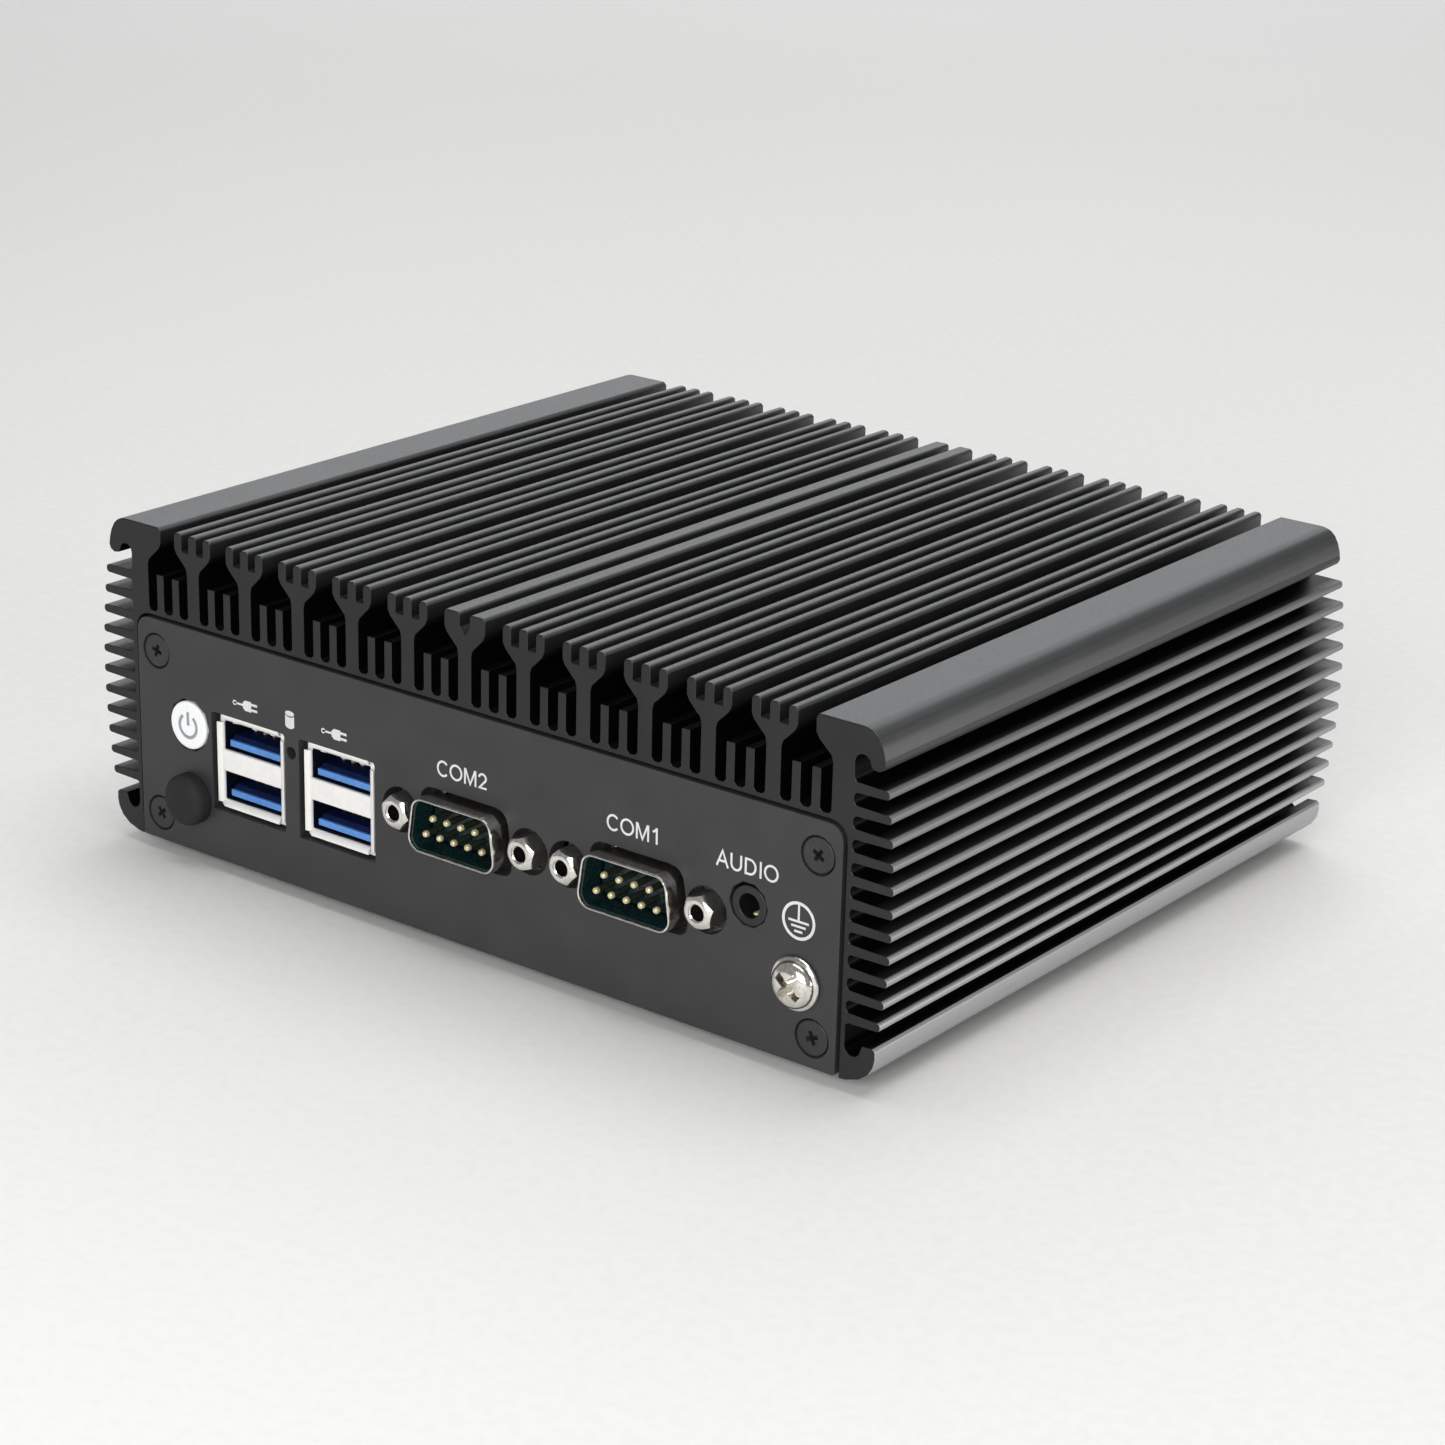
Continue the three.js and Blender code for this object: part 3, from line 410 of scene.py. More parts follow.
def paint_gap_shade_and_floor_reflection(material):
    """Paints shade on the fins' walls, darker with depth into the gaps, and paints a bright metallic
    reflection of the floor on the side fins' tips and the lower hooks.
    """
    nodes, links = material.node_tree.nodes, material.node_tree.links
    shader = nodes["Principled BSDF"]
    place = nodes.new("ShaderNodeTexCoord")
    spot, normal = nodes.new("ShaderNodeSeparateXYZ"), nodes.new("ShaderNodeSeparateXYZ")
    links.new(place.outputs["Object"], spot.inputs[0])
    links.new(place.outputs["Normal"], normal.inputs[0])

    def maths(how, first, second=0.0):
        node = nodes.new("ShaderNodeMath")
        node.operation = how
        for k, value in enumerate((first, second)):
            if isinstance(value, float):
                node.inputs[k].default_value = value
            else:
                links.new(value, node.inputs[k])
        return node.outputs[0]

    def fade(value, start, end):
        """A mask that rises from 0 at one distance to 1 at another."""
        node = nodes.new("ShaderNodeMapRange")
        node.inputs["From Min"].default_value = start * MM
        node.inputs["From Max"].default_value = end * MM
        links.new(value, node.inputs["Value"])
        return node.outputs["Result"]

    def every(first, *masks):
        for mask in masks:
            first = maths("MULTIPLY", first, mask)
        return first

    def blended(factor, colour, tone):
        mix = nodes.new("ShaderNodeMix")
        mix.data_type = "RGBA"
        links.new(factor, mix.inputs["Factor"])
        links.new(colour, mix.inputs["A"])
        mix.inputs["B"].default_value = tone
        return mix.outputs["Result"]

    across, height = maths("ABSOLUTE", spot.outputs["X"]), spot.outputs["Z"]

    def beyond(distance):
        return maths("GREATER_THAN", across, distance * MM)

    def above(depth):
        return maths("GREATER_THAN", height, (TOP - depth) * MM)

    def below(depth):
        return maths("LESS_THAN", height, (TOP - depth) * MM)

    # painted shade: the gaps between the side fins and between the top fins darken with depth
    side_mouth, side_dark, side_root, side_upper, side_lower = 76.3, 74.0, 69.0, 4.2, 48.9
    side = every(fade(across, side_mouth, side_dark), beyond(side_root), below(side_upper), above(side_lower))
    top_mouth, top_dark, top_half = 0.5, 4.0, 68.2
    top = every(fade(height, TOP - top_mouth, TOP - top_dark), maths("LESS_THAN", across, top_half * MM))
    flank = maths("LESS_THAN", maths("ABSOLUTE", normal.outputs["Y"]), 0.6)
    depth = every(maths("MAXIMUM", side, top), flank)

    # painted reflection of the floor on the side fins' tips and the lower hooks' outer faces
    # the side fins' tips follow a shallow bow: across is made level before its last bit is masked
    bow_middle, bow_rate = 26.0, 4.58
    bow = maths("POWER", maths("SUBTRACT", height, (TOP - bow_middle) * MM), 2.0)
    level_tip = maths("ADD", across, maths("MULTIPLY", bow, bow_rate))
    tip_start, tip_full, tips_upper, tips_lower = 76.7, 77.0, 7.5, 45.0
    tip = every(fade(level_tip, tip_start, tip_full), below(tips_upper), above(tips_lower))
    hook_upper, hook_start, hook_full = 46.3, 73.6, 74.6
    faces_out = maths("GREATER_THAN", maths("ABSOLUTE", normal.outputs["X"]), 0.45)
    hook = every(below(hook_upper), faces_out, fade(across, hook_start, hook_full))
    # painted reflection of the floor: brighter the lower it is
    reflection_at_floor, reflection_loss = 0.78, 13.0
    reflection_fade = maths("SUBTRACT", reflection_at_floor, maths("MULTIPLY", height, reflection_loss))
    floor_reflection_mask = every(maths("MAXIMUM", tip, hook), flank, reflection_fade)

    # the painted shade darkens the base colour in the gaps; the painted floor reflection makes the tips and
    # hooks bright and metallic
    plain = shader.inputs["Base Color"].links[0].from_socket
    links.new(blended(floor_reflection_mask, blended(depth, plain, PAINTED_GAP_SHADE), PAINTED_FLOOR_REFLECTION), shader.inputs["Base Color"])
    links.new(floor_reflection_mask, shader.inputs["Metallic"])
    # the specular drops in the gaps as part of the painted shade, and on the sawn ends
    dull_specular, sawn_dullness = 0.12, 0.7
    gleam = nodes.new("ShaderNodeMapRange")
    gleam.inputs["To Min"].default_value = shader.inputs["Specular IOR Level"].default_value
    gleam.inputs["To Max"].default_value = dull_specular
    sawn = maths("MULTIPLY", maths("SUBTRACT", 1.0, flank), sawn_dullness)
    links.new(maths("MAXIMUM", depth, sawn), gleam.inputs["Value"])
    links.new(gleam.outputs["Result"], shader.inputs["Specular IOR Level"])


# painted shade in the fins' gaps and a painted floor reflection on the tips and hooks
paint_gap_shade_and_floor_reflection(ANODISED)

SAWN_TOP_ROUND, SAWN_ROUND = 0.24, 0.11
RAIL_ROUND, ROOT_ROUND, TOP_TIP_ROUND, SIDE_TIP_ROUND, OTHER_ROUND = 0.42, 0.65, 0.2, 0.16, 0.13
SLIGHT_TURN, CLEAR_TURN, RIGHT_TURN = 6, 15, 50
RAIL = {"inner": 71.6, "depth": 4.4}
TOP_TIPS = {"outer": 65, "depth": 0.7}
SIDE_TIPS_INNER = 73


def case_rounding(edge):
    """The radius that a case edge has: large at the fins' roots, small where the saw cut the ends."""
    turn = turn_of(edge)
    a, b = (vertex.co for vertex in edge.verts)
    length = abs(a.y - b.y)
    at_end = [abs(abs(point.y) - CASE_END) < 0.01 for point in (a, b)]
    if all(at_end) and length < 1:
        at_top = min(a.z, b.z) > TOP - 0.6
        return (SAWN_TOP_ROUND if at_top else SAWN_ROUND) if turn > RIGHT_TURN else 0
    x, depth = abs(a.x), TOP - a.z
    if length > 20:
        beside_fins = SIDE_FINS[0] < depth < SIDE_FINS[1]
        if x > RAIL["inner"] and depth < RAIL["depth"]:
            return RAIL_ROUND if turn > SLIGHT_TURN else 0
        if abs(x - SIDE_WALL) < 0.3 and beside_fins:
            return ROOT_ROUND if turn < -CLEAR_TURN else 0
        if depth < TOP_TIPS["depth"] and x < TOP_TIPS["outer"]:
            return TOP_TIP_ROUND if turn > CLEAR_TURN else 0
        if x > SIDE_TIPS_INNER and beside_fins:
            return SIDE_TIP_ROUND if turn > CLEAR_TURN else 0
    return OTHER_ROUND if abs(turn) > SHARP_TURN else 0


def case():
    bm = copied("chassis_extrusion")
    weights = bm.edges.layers.float.new("bevel_weight_edge")
    for edge in bm.edges:
        edge[weights] = case_rounding(edge) / ROOT_ROUND
    rounded = temporary(mesh_from(bm))
    change = rounded.modifiers.new("rounding", "BEVEL")
    change.limit_method, change.width, change.segments = "WEIGHT", ROOT_ROUND, 4
    change.use_clamp_overlap = False
    piece("chassis_extrusion_finish", evaluated_copy(rounded), ANODISED,
          replaces=["chassis_extrusion"])


case()


PANEL_ROUND = 0.14


def front_panel():
    """The CAD panel with closer openings under the stacked ports."""
    parts = [rounded_copy("front_panel", PANEL_ROUND)]
    sill_half, sill_height, sill_gap = 8.2, 1.2, 0.12
    for number in (1, 2):
        shell = f"usb_shell_{number}"
        x, floor = middle(shell).x, low(shell).z
        parts.append(brick((x - sill_half, x + sill_half), (PANEL_FACE + 0.002, PANEL_BACK - 0.1),
                           (floor - sill_height, floor - sill_gap), 0.1))
    piece("front_panel_finish", together(*parts), PANEL, replaces=["front_panel"])


front_panel()
softened("rear_panel", PANEL_ROUND, PANEL)
softened("bottom_cover", PANEL_ROUND, PANEL)

# ------------------------------------------------------------------ screws


def cross_tools(arm, width, depth):
    """Two tapered blades that cut a cross recess into a face at y = 0."""
    tools = []
    for across, along in ((arm, width), (width, arm)):
        shapes = [((across / 2 * k, along / 2 * k), y) for k, y in ((1.06, -0.6), (0.62, depth))]
        loops = [[(sx * w, y, sz * h) for sx, sz in ((-1, -1), (1, -1), (1, 1), (-1, 1))]
                 for (w, h), y in shapes]
        tools.append(rings(loops))
    return tools


def countersunk(head, shank, cone, length, recess):
    """A screw from its head's radius, its shank's radius, the depth of its cone and its length."""
    thread_pitch, thread_root = 0.5, 0.86
    profile = fillet([(0, 0), (head - 0.12, 0), (head, 0.25), (shank, cone + 0.25)], 0.1)
    thread = []
    y = cone + 0.8
    while y < length - 0.7:
        thread += [(shank, y), (shank * thread_root, y + thread_pitch / 2)]
        y += thread_pitch
    body = turned(profile + thread + [(shank, length - 0.5), (shank * 0.6, length), (0, length)], 48)
    return combine(body, *cross_tools(*recess))


panel_screw = countersunk(2.7, 1.5, 1.5, 9, (2.3, 0.72, 1.3))
for side, back in (("front", False), ("rear", True)):
    for number in range(1, 5):
        node = f"{side}_panel_screw_{number}"
        screw = panel_screw.copy()
        # each screw was driven home at its own angle
        screw.transform(Matrix.Rotation(math.radians(17 * number), 4, "Y"))
        moved(screw, seen_x(node, back), low("front_panel_screw_1").y, middle(node).z)
        piece(node + "_finish", screw, BLACK_SCREW, replaces=[node], back=back)

cover_screw = countersunk(2.3, 1.2, 0.9, 5.5, (2.6, 0.55, 1.0))
cover_screw.transform(Matrix.Rotation(math.pi / 2, 4, "X"))
for number in range(1, 5):
    node = f"bottom_cover_screw_{number}"
    spot = middle(node)
    screw = moved(cover_screw.copy(), spot.x, spot.y, low(node).z)
    piece(node + "_finish", screw, BLACK_SCREW, replaces=[node])


def ground_screw():
    node = "ground_screw"
    spot, face, back = middle(node), low(node).y, high(node).y
    flange = (high(node).x - low(node).x) / 2
    head, shank = flange * 0.875, 1.9
    seat = PANEL_FACE - 0.05
    dome = [(0, face), (head * 0.57, face + 0.1), (head * 0.8, face + 0.42), (head * 0.95, face + 0.9),
            (head, face + 1.5)]
    washer = [(head, seat - 0.75), (flange - 0.35, seat - 0.68), (flange - 0.1, seat - 0.55),
              (flange, seat - 0.35), (flange - 0.1, seat - 0.1), (flange - 0.3, seat)]
    body = turned(dome + washer + [(shank, seat), (shank, back), (0, back)], 72)
    tools = [moved(tool, 0, face, 0) for tool in cross_tools(5.0, 1.35, 1.9)]
    for tool in tools:
        tool.transform(Matrix.Rotation(math.radians(38), 4, "Y"))
    mesh = moved(combine(body, *tools), spot.x, 0, spot.z)
    piece(node + "_finish", mesh, PLATING, replaces=[node])


ground_screw()

# ------------------------------------------------------------------ power button and its printed ring


def power_button():
    node = "power_button"
    radius, flange, stem = 3.95, 4.9, 1.5
    face, stem_end = low(node).y, high(node).y
    flange_start, flange_end = PANEL_BACK + 0.25, PANEL_BACK + 1.25
    x = middle("switch_plunger").x
    z = middle("switch_plunger").z
    profile = fillet([(0, face + 0.06), (3.0, face), (radius, face), (radius, flange_start),
                      (flange, flange_start), (flange, flange_end), (stem, flange_end), (stem, stem_end),
                      (0, stem_end)], 0.4)
    piece(node + "_finish", moved(turned(profile, 80), x, 0, z), WHITE, KEY, [node])
    gap, steps, drop = math.radians(36), 44, 0.1
    sweep = [math.pi / 2 + gap + (2 * math.pi - 2 * gap) * i / steps for i in range(steps + 1)]
    outer = [(2.15 * math.cos(a), 2.15 * math.sin(a) - drop) for a in sweep]
    inner = [(1.6 * math.cos(a), 1.6 * math.sin(a) - drop) for a in reversed(sweep)]
    ink = (face - 0.012, face + 0.1)
    sign = together(plate([outer + inner], *ink), plate([rectangle(-0.27, 0.27, 0.0, 2.25)], *ink))
    piece("power_sign", moved(sign, x, 0, z), RING_GREY, KEY)


power_button()

# ------------------------------------------------------------------ rubber plugs and feet


def hole_plug(node, back):
    front, radius = low("antenna_hole_plug_front").y, (high(node).x - low(node).x) / 2
    edge = 1.45
    rim = [(radius - edge + edge * math.sin(a), front + edge - edge * math.cos(a))
           for a in (math.pi / 2 * k / 9 for k in range(10))]
    side = [(radius, PANEL_FACE - 0.3), (radius - 0.12, PANEL_FACE - 0.05)]
    rest = [(2.9, PANEL_FACE - 0.05), (2.9, PANEL_BACK + 0.05), (3.6, PANEL_BACK + 0.3),
            (2.5, PANEL_BACK + 2.2), (0, PANEL_BACK + 2.2)]
    plug = moved(turned([(0, front + 0.04)] + rim + side + rest, 64), seen_x(node, back), 0, middle(node).z)
    piece(node + "_finish", plug, RUBBER, replaces=[node], back=back)


hole_plug("antenna_hole_plug_front", False)
hole_plug("antenna_hole_plug_rear", True)

for number in range(1, 5):
    node = f"rubber_foot_{number}"
    spot, top = middle(node), high(node).z
    foot = turned([(0, 0.15), (3.2, 0.15), (3.6, 0), (4.7, 0), (5.0, 0.3), (5.5, top - 0.3), (5.5, top),
                   (0, top)], 56, soft=0.25)
    foot.transform(Matrix.Rotation(math.pi / 2, 4, "X"))
    piece(node + "_finish", moved(foot, spot.x, spot.y, 0), RUBBER, replaces=[node])

# ------------------------------------------------------------------ stacked USB ports


def usb_stack(number):
    shell, insert = f"usb_shell_{number}", f"usb_insert_{number}"
    x, bottom, top = middle(shell).x, low(shell).z, high(shell).z
    lip_face, back = low(shell).y, high(shell).y
    mouth_half, mouth_height, mouth_depth = 6.15, 4.9, 10
    shell_half, band_half = 7.2, 6.55
    mouths = [top - 3.2, top - 11.5]
    spans = [(m - mouth_height / 2, m + mouth_height / 2) for m in mouths]
    lower_ceiling, upper_floor = spans[1][1], spans[0][0]
    walls = combine(
        brick((-shell_half, shell_half), (lip_face + 0.75, back), (bottom + 0.3, top - 0.05), 0.25),
        *[brick((-mouth_half, mouth_half), (lip_face - 1, lip_face + mouth_depth), span) for span in spans],
        brick((-mouth_half, mouth_half), (lip_face + 9.5, back + 1), (bottom + 1.65, top - 0.75)),
    )
    band = brick((-band_half, band_half), (lip_face + 0.28, lip_face + 0.9),
                 (lower_ceiling - 0.1, upper_floor + 0.1), 0.28)
    parts = [walls, band]
    # a flared lip along each side: a sheet that curls outwards from the mouth's edge
    curl = [(0.0, 1.3), (0.0, 0.75), (0.12, 0.42), (0.38, 0.2), (0.75, 0.1), (1.1, 0.06)]
    back_curl = [(u + 0.02, v + 0.26) for u, v in reversed(curl)]
    section = curl + back_curl[:-1] + [(-0.12, 1.3)]
    half_height, centre = (top - bottom) / 2, (top + bottom) / 2

    def lip(start, direction, half_length):
        return rings([[(start + direction * u, lip_face + v, end) for u, v in section]
                      for end in (-half_length, half_length)])

    for side in (-1, 1):
        parts.append(moved(lip(side * mouth_half, side, half_height - 1.15), z=centre))
    for side, edge in ((-1, spans[1][0]), (1, spans[0][1])):
        level_lip = lip(edge - centre, side, mouth_half - 0.1)
        level_lip.transform(Matrix.Rotation(math.pi / 2, 4, "Y") @ Matrix.Scale(-1, 4, (1, 0, 0)))
        parts.append(moved(level_lip, z=centre))
    # retaining springs, stamped out of the mouths' upper walls
    sheet = 0.22
    for _, ceiling in spans:
        for u in (-4.1, 0.2, 4.1):
            parts.append(rings([[(u + su * w, lip_face + y, ceiling - drop - thick) for su, thick in
                                 ((-1, 0), (1, 0), (1, sheet), (-1, sheet))]
                                for w, y, drop in ((0.45, 0.9, 0.02), (0.4, 1.9, 0.42), (0.25, 3.0, 0.1))]))
    piece(shell + "_finish", moved(together(*parts), x), SHEET, replaces=[shell])

    # painted shade: near-black navy sheets line the mouths' walls and the insert behind them, where the blue
    # insert and the shell's inner walls lie in shade
    shade_sheets = [brick((-5.85, 5.85), (lip_face + 9.8, back - 0.5), (bottom + 1.95, top - 1.05), 0.1)]
    for floor, ceiling in spans:
        shade_sheets.append(combine(
            brick((-mouth_half - 0.02, mouth_half + 0.02), (lip_face + 0.95, lip_face + 9.4),
                  (floor - 0.02, ceiling + 0.02)),
            brick((-mouth_half + 0.12, mouth_half - 0.12), (lip_face, lip_face + 9.3),
                  (floor + 0.12, ceiling - 0.12))))
    piece(insert + "_finish", moved(together(*shade_sheets), x), SHADE_NAVY, replaces=[insert])
    for row, m in enumerate(mouths):
        # the tongue's body is its blue in painted shade and its front edge the same blue in painted light
        section = [(1.6, m - 1.9), (1.6, m - 0.95), (2.4, m - 0.3), (9.6, m - 0.3), (9.6, m - 1.9)]
        tongue = rings([[(u, lip_face + y, z) for y, z in section] for u in (-5.45, 5.45)])
        piece(f"usb_tongue_{number}_{row}", moved(tongue, x), BLUE_AND_TONGUE_SHADE, sharp=20)
        nose = brick((-5.5, 5.5), (lip_face + 1.2, lip_face + 1.7), (m - 1.95, m - 0.9), 0.08)
        piece(f"usb_nose_{number}_{row}", moved(nose, x), LIT_TONGUE_BLUE)
        near = [brick((u - 0.35, u + 0.35), (lip_face + 1.9, lip_face + 8.5), (m - 2.02, m - 1.9), 0.03)
                for u in (-3.5, -1.0, 1.0, 3.5)]
        far = [brick((u - 0.22, u + 0.22), (lip_face + 5.2, lip_face + 7.8), (m - 0.33, m + 0.1), 0.08)
               for u in (-4.0, -2.0, 0.0, 2.0, 4.0)]
        piece(f"usb_contacts_{number}_{row}", moved(together(*near, *far), x), GOLD)


usb_stack(1)
usb_stack(2)

# ------------------------------------------------------------------ nine-way and display ports
D_HALF_HEIGHT, D_TOP_HALF, D_BOTTOM_HALF, D_CORNER = 4.45, 7.7, 9.0, 2.3
FLANGE_FACE = PANEL_BACK + 0.05
RIM = low("com1_shell").y
JACK_FACE = low("com1_jack_screw_left").y


def d_outline(offset):
    """The port's outline, wider at the bottom, grown or shrunk by an offset."""
    h = D_HALF_HEIGHT
    slope = Vector((D_BOTTOM_HALF - D_TOP_HALF, 2 * h)).normalized()
    shift = offset / slope.y
    lean = slope.x / slope.y

    def half_width(z):
        return D_TOP_HALF + (h - z) * lean + shift

    top, bottom = h + offset, -h - offset
    corners = [(-half_width(top), top), (half_width(top), top), (half_width(bottom), bottom),
               (-half_width(bottom), bottom)]
    return round_corners(corners, D_CORNER + offset, 8)


def d_skin(profile, cap=False):
    """Sweeps an [offset, y] profile round the port's outline."""
    return rings([[(x, y, z) for x, z in d_outline(offset)] for offset, y in profile], cap=cap)


def port_shell(node, back=False):
    wall = 0.5
    tube = d_skin([(-wall, FLANGE_FACE + 0.9), (-wall, RIM + 0.2), (-wall + 0.07, RIM + 0.06),
                   (-wall / 2 - 0.04, RIM), (-0.16, RIM + 0.06), (-0.1, RIM + 0.2), (0, RIM + 1.3),
                   (0, FLANGE_FACE - 0.9), (0.08, FLANGE_FACE - 0.45),
                   (0.3, FLANGE_FACE - 0.15), (0.7, FLANGE_FACE), (0.7, FLANGE_FACE + 0.2)])
    flange = plate([rectangle(-15.4, 15.4, -6.25, 6.25, 0.8), d_outline(-0.3)]
                   + [ellipse(u, 0, 1.6, 1.6) for u in (-12.5, 12.5)], FLANGE_FACE, FLANGE_FACE + 0.9, 0.1)
    dimples = [moved(bar(0.55, FLANGE_FACE - 1.6, FLANGE_FACE + 0.2, 20, 0.3), u, 0, D_HALF_HEIGHT + 0.1)
               for u in (-5.6, 5.6)]
    mesh = moved(together(tube, flange, *dimples), seen_x(node, back), 0, middle(node).z)
    piece(node + "_finish", mesh, PLATING, replaces=[node], back=back)


PIN_PITCH = 2.77


def pin_tip():
    tip = RIM + 0.35
    return turned([(0, tip), (0.22, tip + 0.03), (0.4, tip + 0.14), (0.5, tip + 0.32), (0.52, tip + 0.75),
                   (0, tip + 0.75)], 20)


def pin_shaft():
    return turned([(0, RIM + 1.0), (0.5, RIM + 1.0), (0.5, FLANGE_FACE)], 20)


def contact_block(name):
    node = f"{name}_contact_block"
    shell = middle(f"{name}_shell")
    face, end, rim = FLANGE_FACE - 1.5, high(node).y, low(f"{name}_shell").y
    core = d_skin([(-2.1, face), (-0.95, face), (-0.8, face + 0.15), (-0.8, FLANGE_FACE + 1.9)], cap=True)
    pins = [(i - (count - 1) / 2, row) for row, count in ((1, 4), (-1, 5)) for i in range(count)]
    # a dark teal sheet over the metal shell's inner walls: painted shade inside the shell
    shade_lining = d_skin([(-0.51, rim + 0.55), (-0.64, rim + 0.6), (-0.64, face + 0.1), (-0.51, face + 0.1)])
    collars = [moved(bar(0.85, face - 0.12, face + 0.4, 24, 0.1), u * PIN_PITCH, 0, row * 1.42)
               for u, row in pins]
    rear = brick((-9.6, 9.6), (FLANGE_FACE + 0.95, end), (low(node).z - shell.z, high(node).z - shell.z), 0.2)
    mesh = moved(together(core, rear, shade_lining, *collars), shell.x, 0, shell.z)
    piece(node + "_finish", mesh, TEAL, replaces=[node])
    # the pins' tips in gold, their shafts in the same gold with painted shade
    for part, shape, finish in (("pin_tips", pin_tip, GOLD), ("pin_shafts", pin_shaft, SHADED_GOLD)):
        contacts = [moved(shape(), u * PIN_PITCH, 0, row * 1.38) for u, row in pins]
        piece(f"{name}_{part}", moved(together(*contacts), shell.x, 0, shell.z), finish)


def jack_screw_mesh():
    face, back = JACK_FACE, FLANGE_FACE - 0.05
    thread_pitch, thread_top, thread_root = 0.45, 1.24, 1.42
    hexagon = rings([circle(2.75, y, 6) for y in (face, back)])
    rounded = turned([(0, face), (1.9, face), (2.2, face + 0.12), (2.75, face + 0.62), (2.9, back + 0.1),
                      (0, back + 0.1)], 48)
    head = combine(hexagon, rounded, how="INTERSECT")
    thread = [(thread_root, face - 1), (thread_root, face + 0.12)]
    for k in range(8):
        thread += [(thread_top, face + 0.3 + k * thread_pitch), (thread_root, face + 0.52 + k * thread_pitch)]
    bore = turned([(0, face - 1)] + thread + [(0, face + 4.2)], 32)
    shank = turned([(1.25, back - 0.3), (1.6, back - 0.3), (1.3, back), (1.3, FLANGE_FACE + 4.4),
                    (1.25, FLANGE_FACE + 4.4)], 32)
    return together(combine(head, bore), shank)


jack_screw = jack_screw_mesh()


def jack_screws(name, back=False):
    for side, angle in (("left", 12), ("right", 41)):
        node = f"{name}_jack_screw_{side}"
        place = (seen_x(node, back), 0, middle(node).z)
        mesh = jack_screw.copy()
        mesh.transform(Matrix.Rotation(math.radians(angle), 4, "Y"))
        piece(node + "_finish", moved(mesh, *place), NICKEL, replaces=[node], back=back)
        # a near-black sleeve in each bore: painted shade over the plated thread
        bore = turned([(1.38, JACK_FACE + 0.3), (1.22, JACK_FACE + 0.36), (1.22, JACK_FACE + 4.3),
                       (0, JACK_FACE + 4.3), (0, JACK_FACE + 4.5), (1.38, JACK_FACE + 4.5)], 32)
        piece(node + "_bore", moved(bore, *place), BORE_SHADE, back=back)


for name in ("com1", "com2"):
    port_shell(f"{name}_shell")
    contact_block(name)
    jack_screws(name)

port_shell("vga_shell", back=True)
jack_screws("vga", back=True)


def vga_socket():
    node = "vga_socket_block"
    shell = middle("vga_shell")
    hole_pitch, row_pitch = 2.29, 1.98
    face = RIM + 0.4
    core = d_skin([(-2.1, face), (-1.0, face), (-0.8, face + 0.2), (-0.8, FLANGE_FACE + 1.9)], cap=True)
    holes = [moved(bar(0.5, face - 1, face + 2.5, 16), (i + row * 0.25) * hole_pitch, 0, row * row_pitch)
             for row in (-1, 0, 1) for i in (-2, -1, 0, 1, 2)]
    rear = brick((-9.6, 9.6), (FLANGE_FACE + 0.95, FLANGE_FACE + 10.4),
                 (low(node).z - shell.z, high(node).z - shell.z), 0.2)
    mesh = moved(together(combine(core, together(*holes)), rear), -shell.x, 0, shell.z)
    piece(node + "_finish", mesh, BLUE_AND_TONGUE_SHADE, replaces=[node], back=True)


vga_socket()

# ------------------------------------------------------------------ round sockets


def audio_jack():
    node = "audio_jack"
    face, end = low(node).y, high(node).y
    x, z = middle(node).x, low(node).z + 2.8
    ring = turned(fillet([(1.8, face + 9), (1.8, face), (3.05, face), (3.05, PANEL_BACK + 1)], 0.2)
                  + [(2.0, PANEL_BACK + 1.1), (2.0, face + 9), (1.8, face + 9)], 64)
    bottom = turned([(0, face + 8.8), (1.9, face + 8.8), (1.9, face + 9.1), (0, face + 9.1)], 32)
    box = combine(brick((-3.2, 3.2), (PANEL_BACK + 0.4, end), (low(node).z - z, high(node).z - z), 0.2),
                  bar(1.9, face - 1, face + 9, 32))
    piece(node + "_finish", moved(together(ring, bottom, box), x, 0, z), BLACK_PLASTIC,
          replaces=[node])
    spring_line = [(0, face + 0.75), (0.42, face + 0.9), (0.42, face + 2.6), (0, face + 2.8)]
    spring = turned(fillet(spring_line, 0.3), 16)
    spring.transform(Matrix.Diagonal((1, 1, 0.6, 1)))
    piece("audio_contact", moved(spring, x + 0.45, 0, z - 1.4), GOLD)


audio_jack()


def dc_inlet():
    node = "dc_power_inlet"
    x = -middle(node).x
    z = low(node).z + 5.4
    face, end = -high(node).y, -low(node).y
    ring = turned(fillet([(3.15, face + 8), (3.15, face), (3.9, face), (3.9, PANEL_BACK + 1)], 0.2)
                  + [(3.4, PANEL_BACK + 1.1), (3.4, face + 8), (3.15, face + 8)], 64)
    floor = turned([(0, face + 8), (3.3, face + 8), (3.3, face + 8.3), (0, face + 8.3)], 32)
    box = combine(brick((-4.6, 4.6), (PANEL_BACK + 0.4, end), (low(node).z - z, high(node).z - z), 0.3),
                  bar(3.3, face - 1, face + 8, 32))
    piece(node + "_finish", moved(together(ring, floor, box), x, 0, z), BLACK_PLASTIC,
          replaces=[node], back=True)
    piece("dc_pin", moved(turned([(0, face + 1.5), (0.7, face + 1.6), (1.05, face + 2.1), (1.05, face + 8.1),
                                  (0, face + 8.1)], 32), x, 0, z), NICKEL, back=True)


dc_inlet()

# ------------------------------------------------------------------ network and display sockets at the back

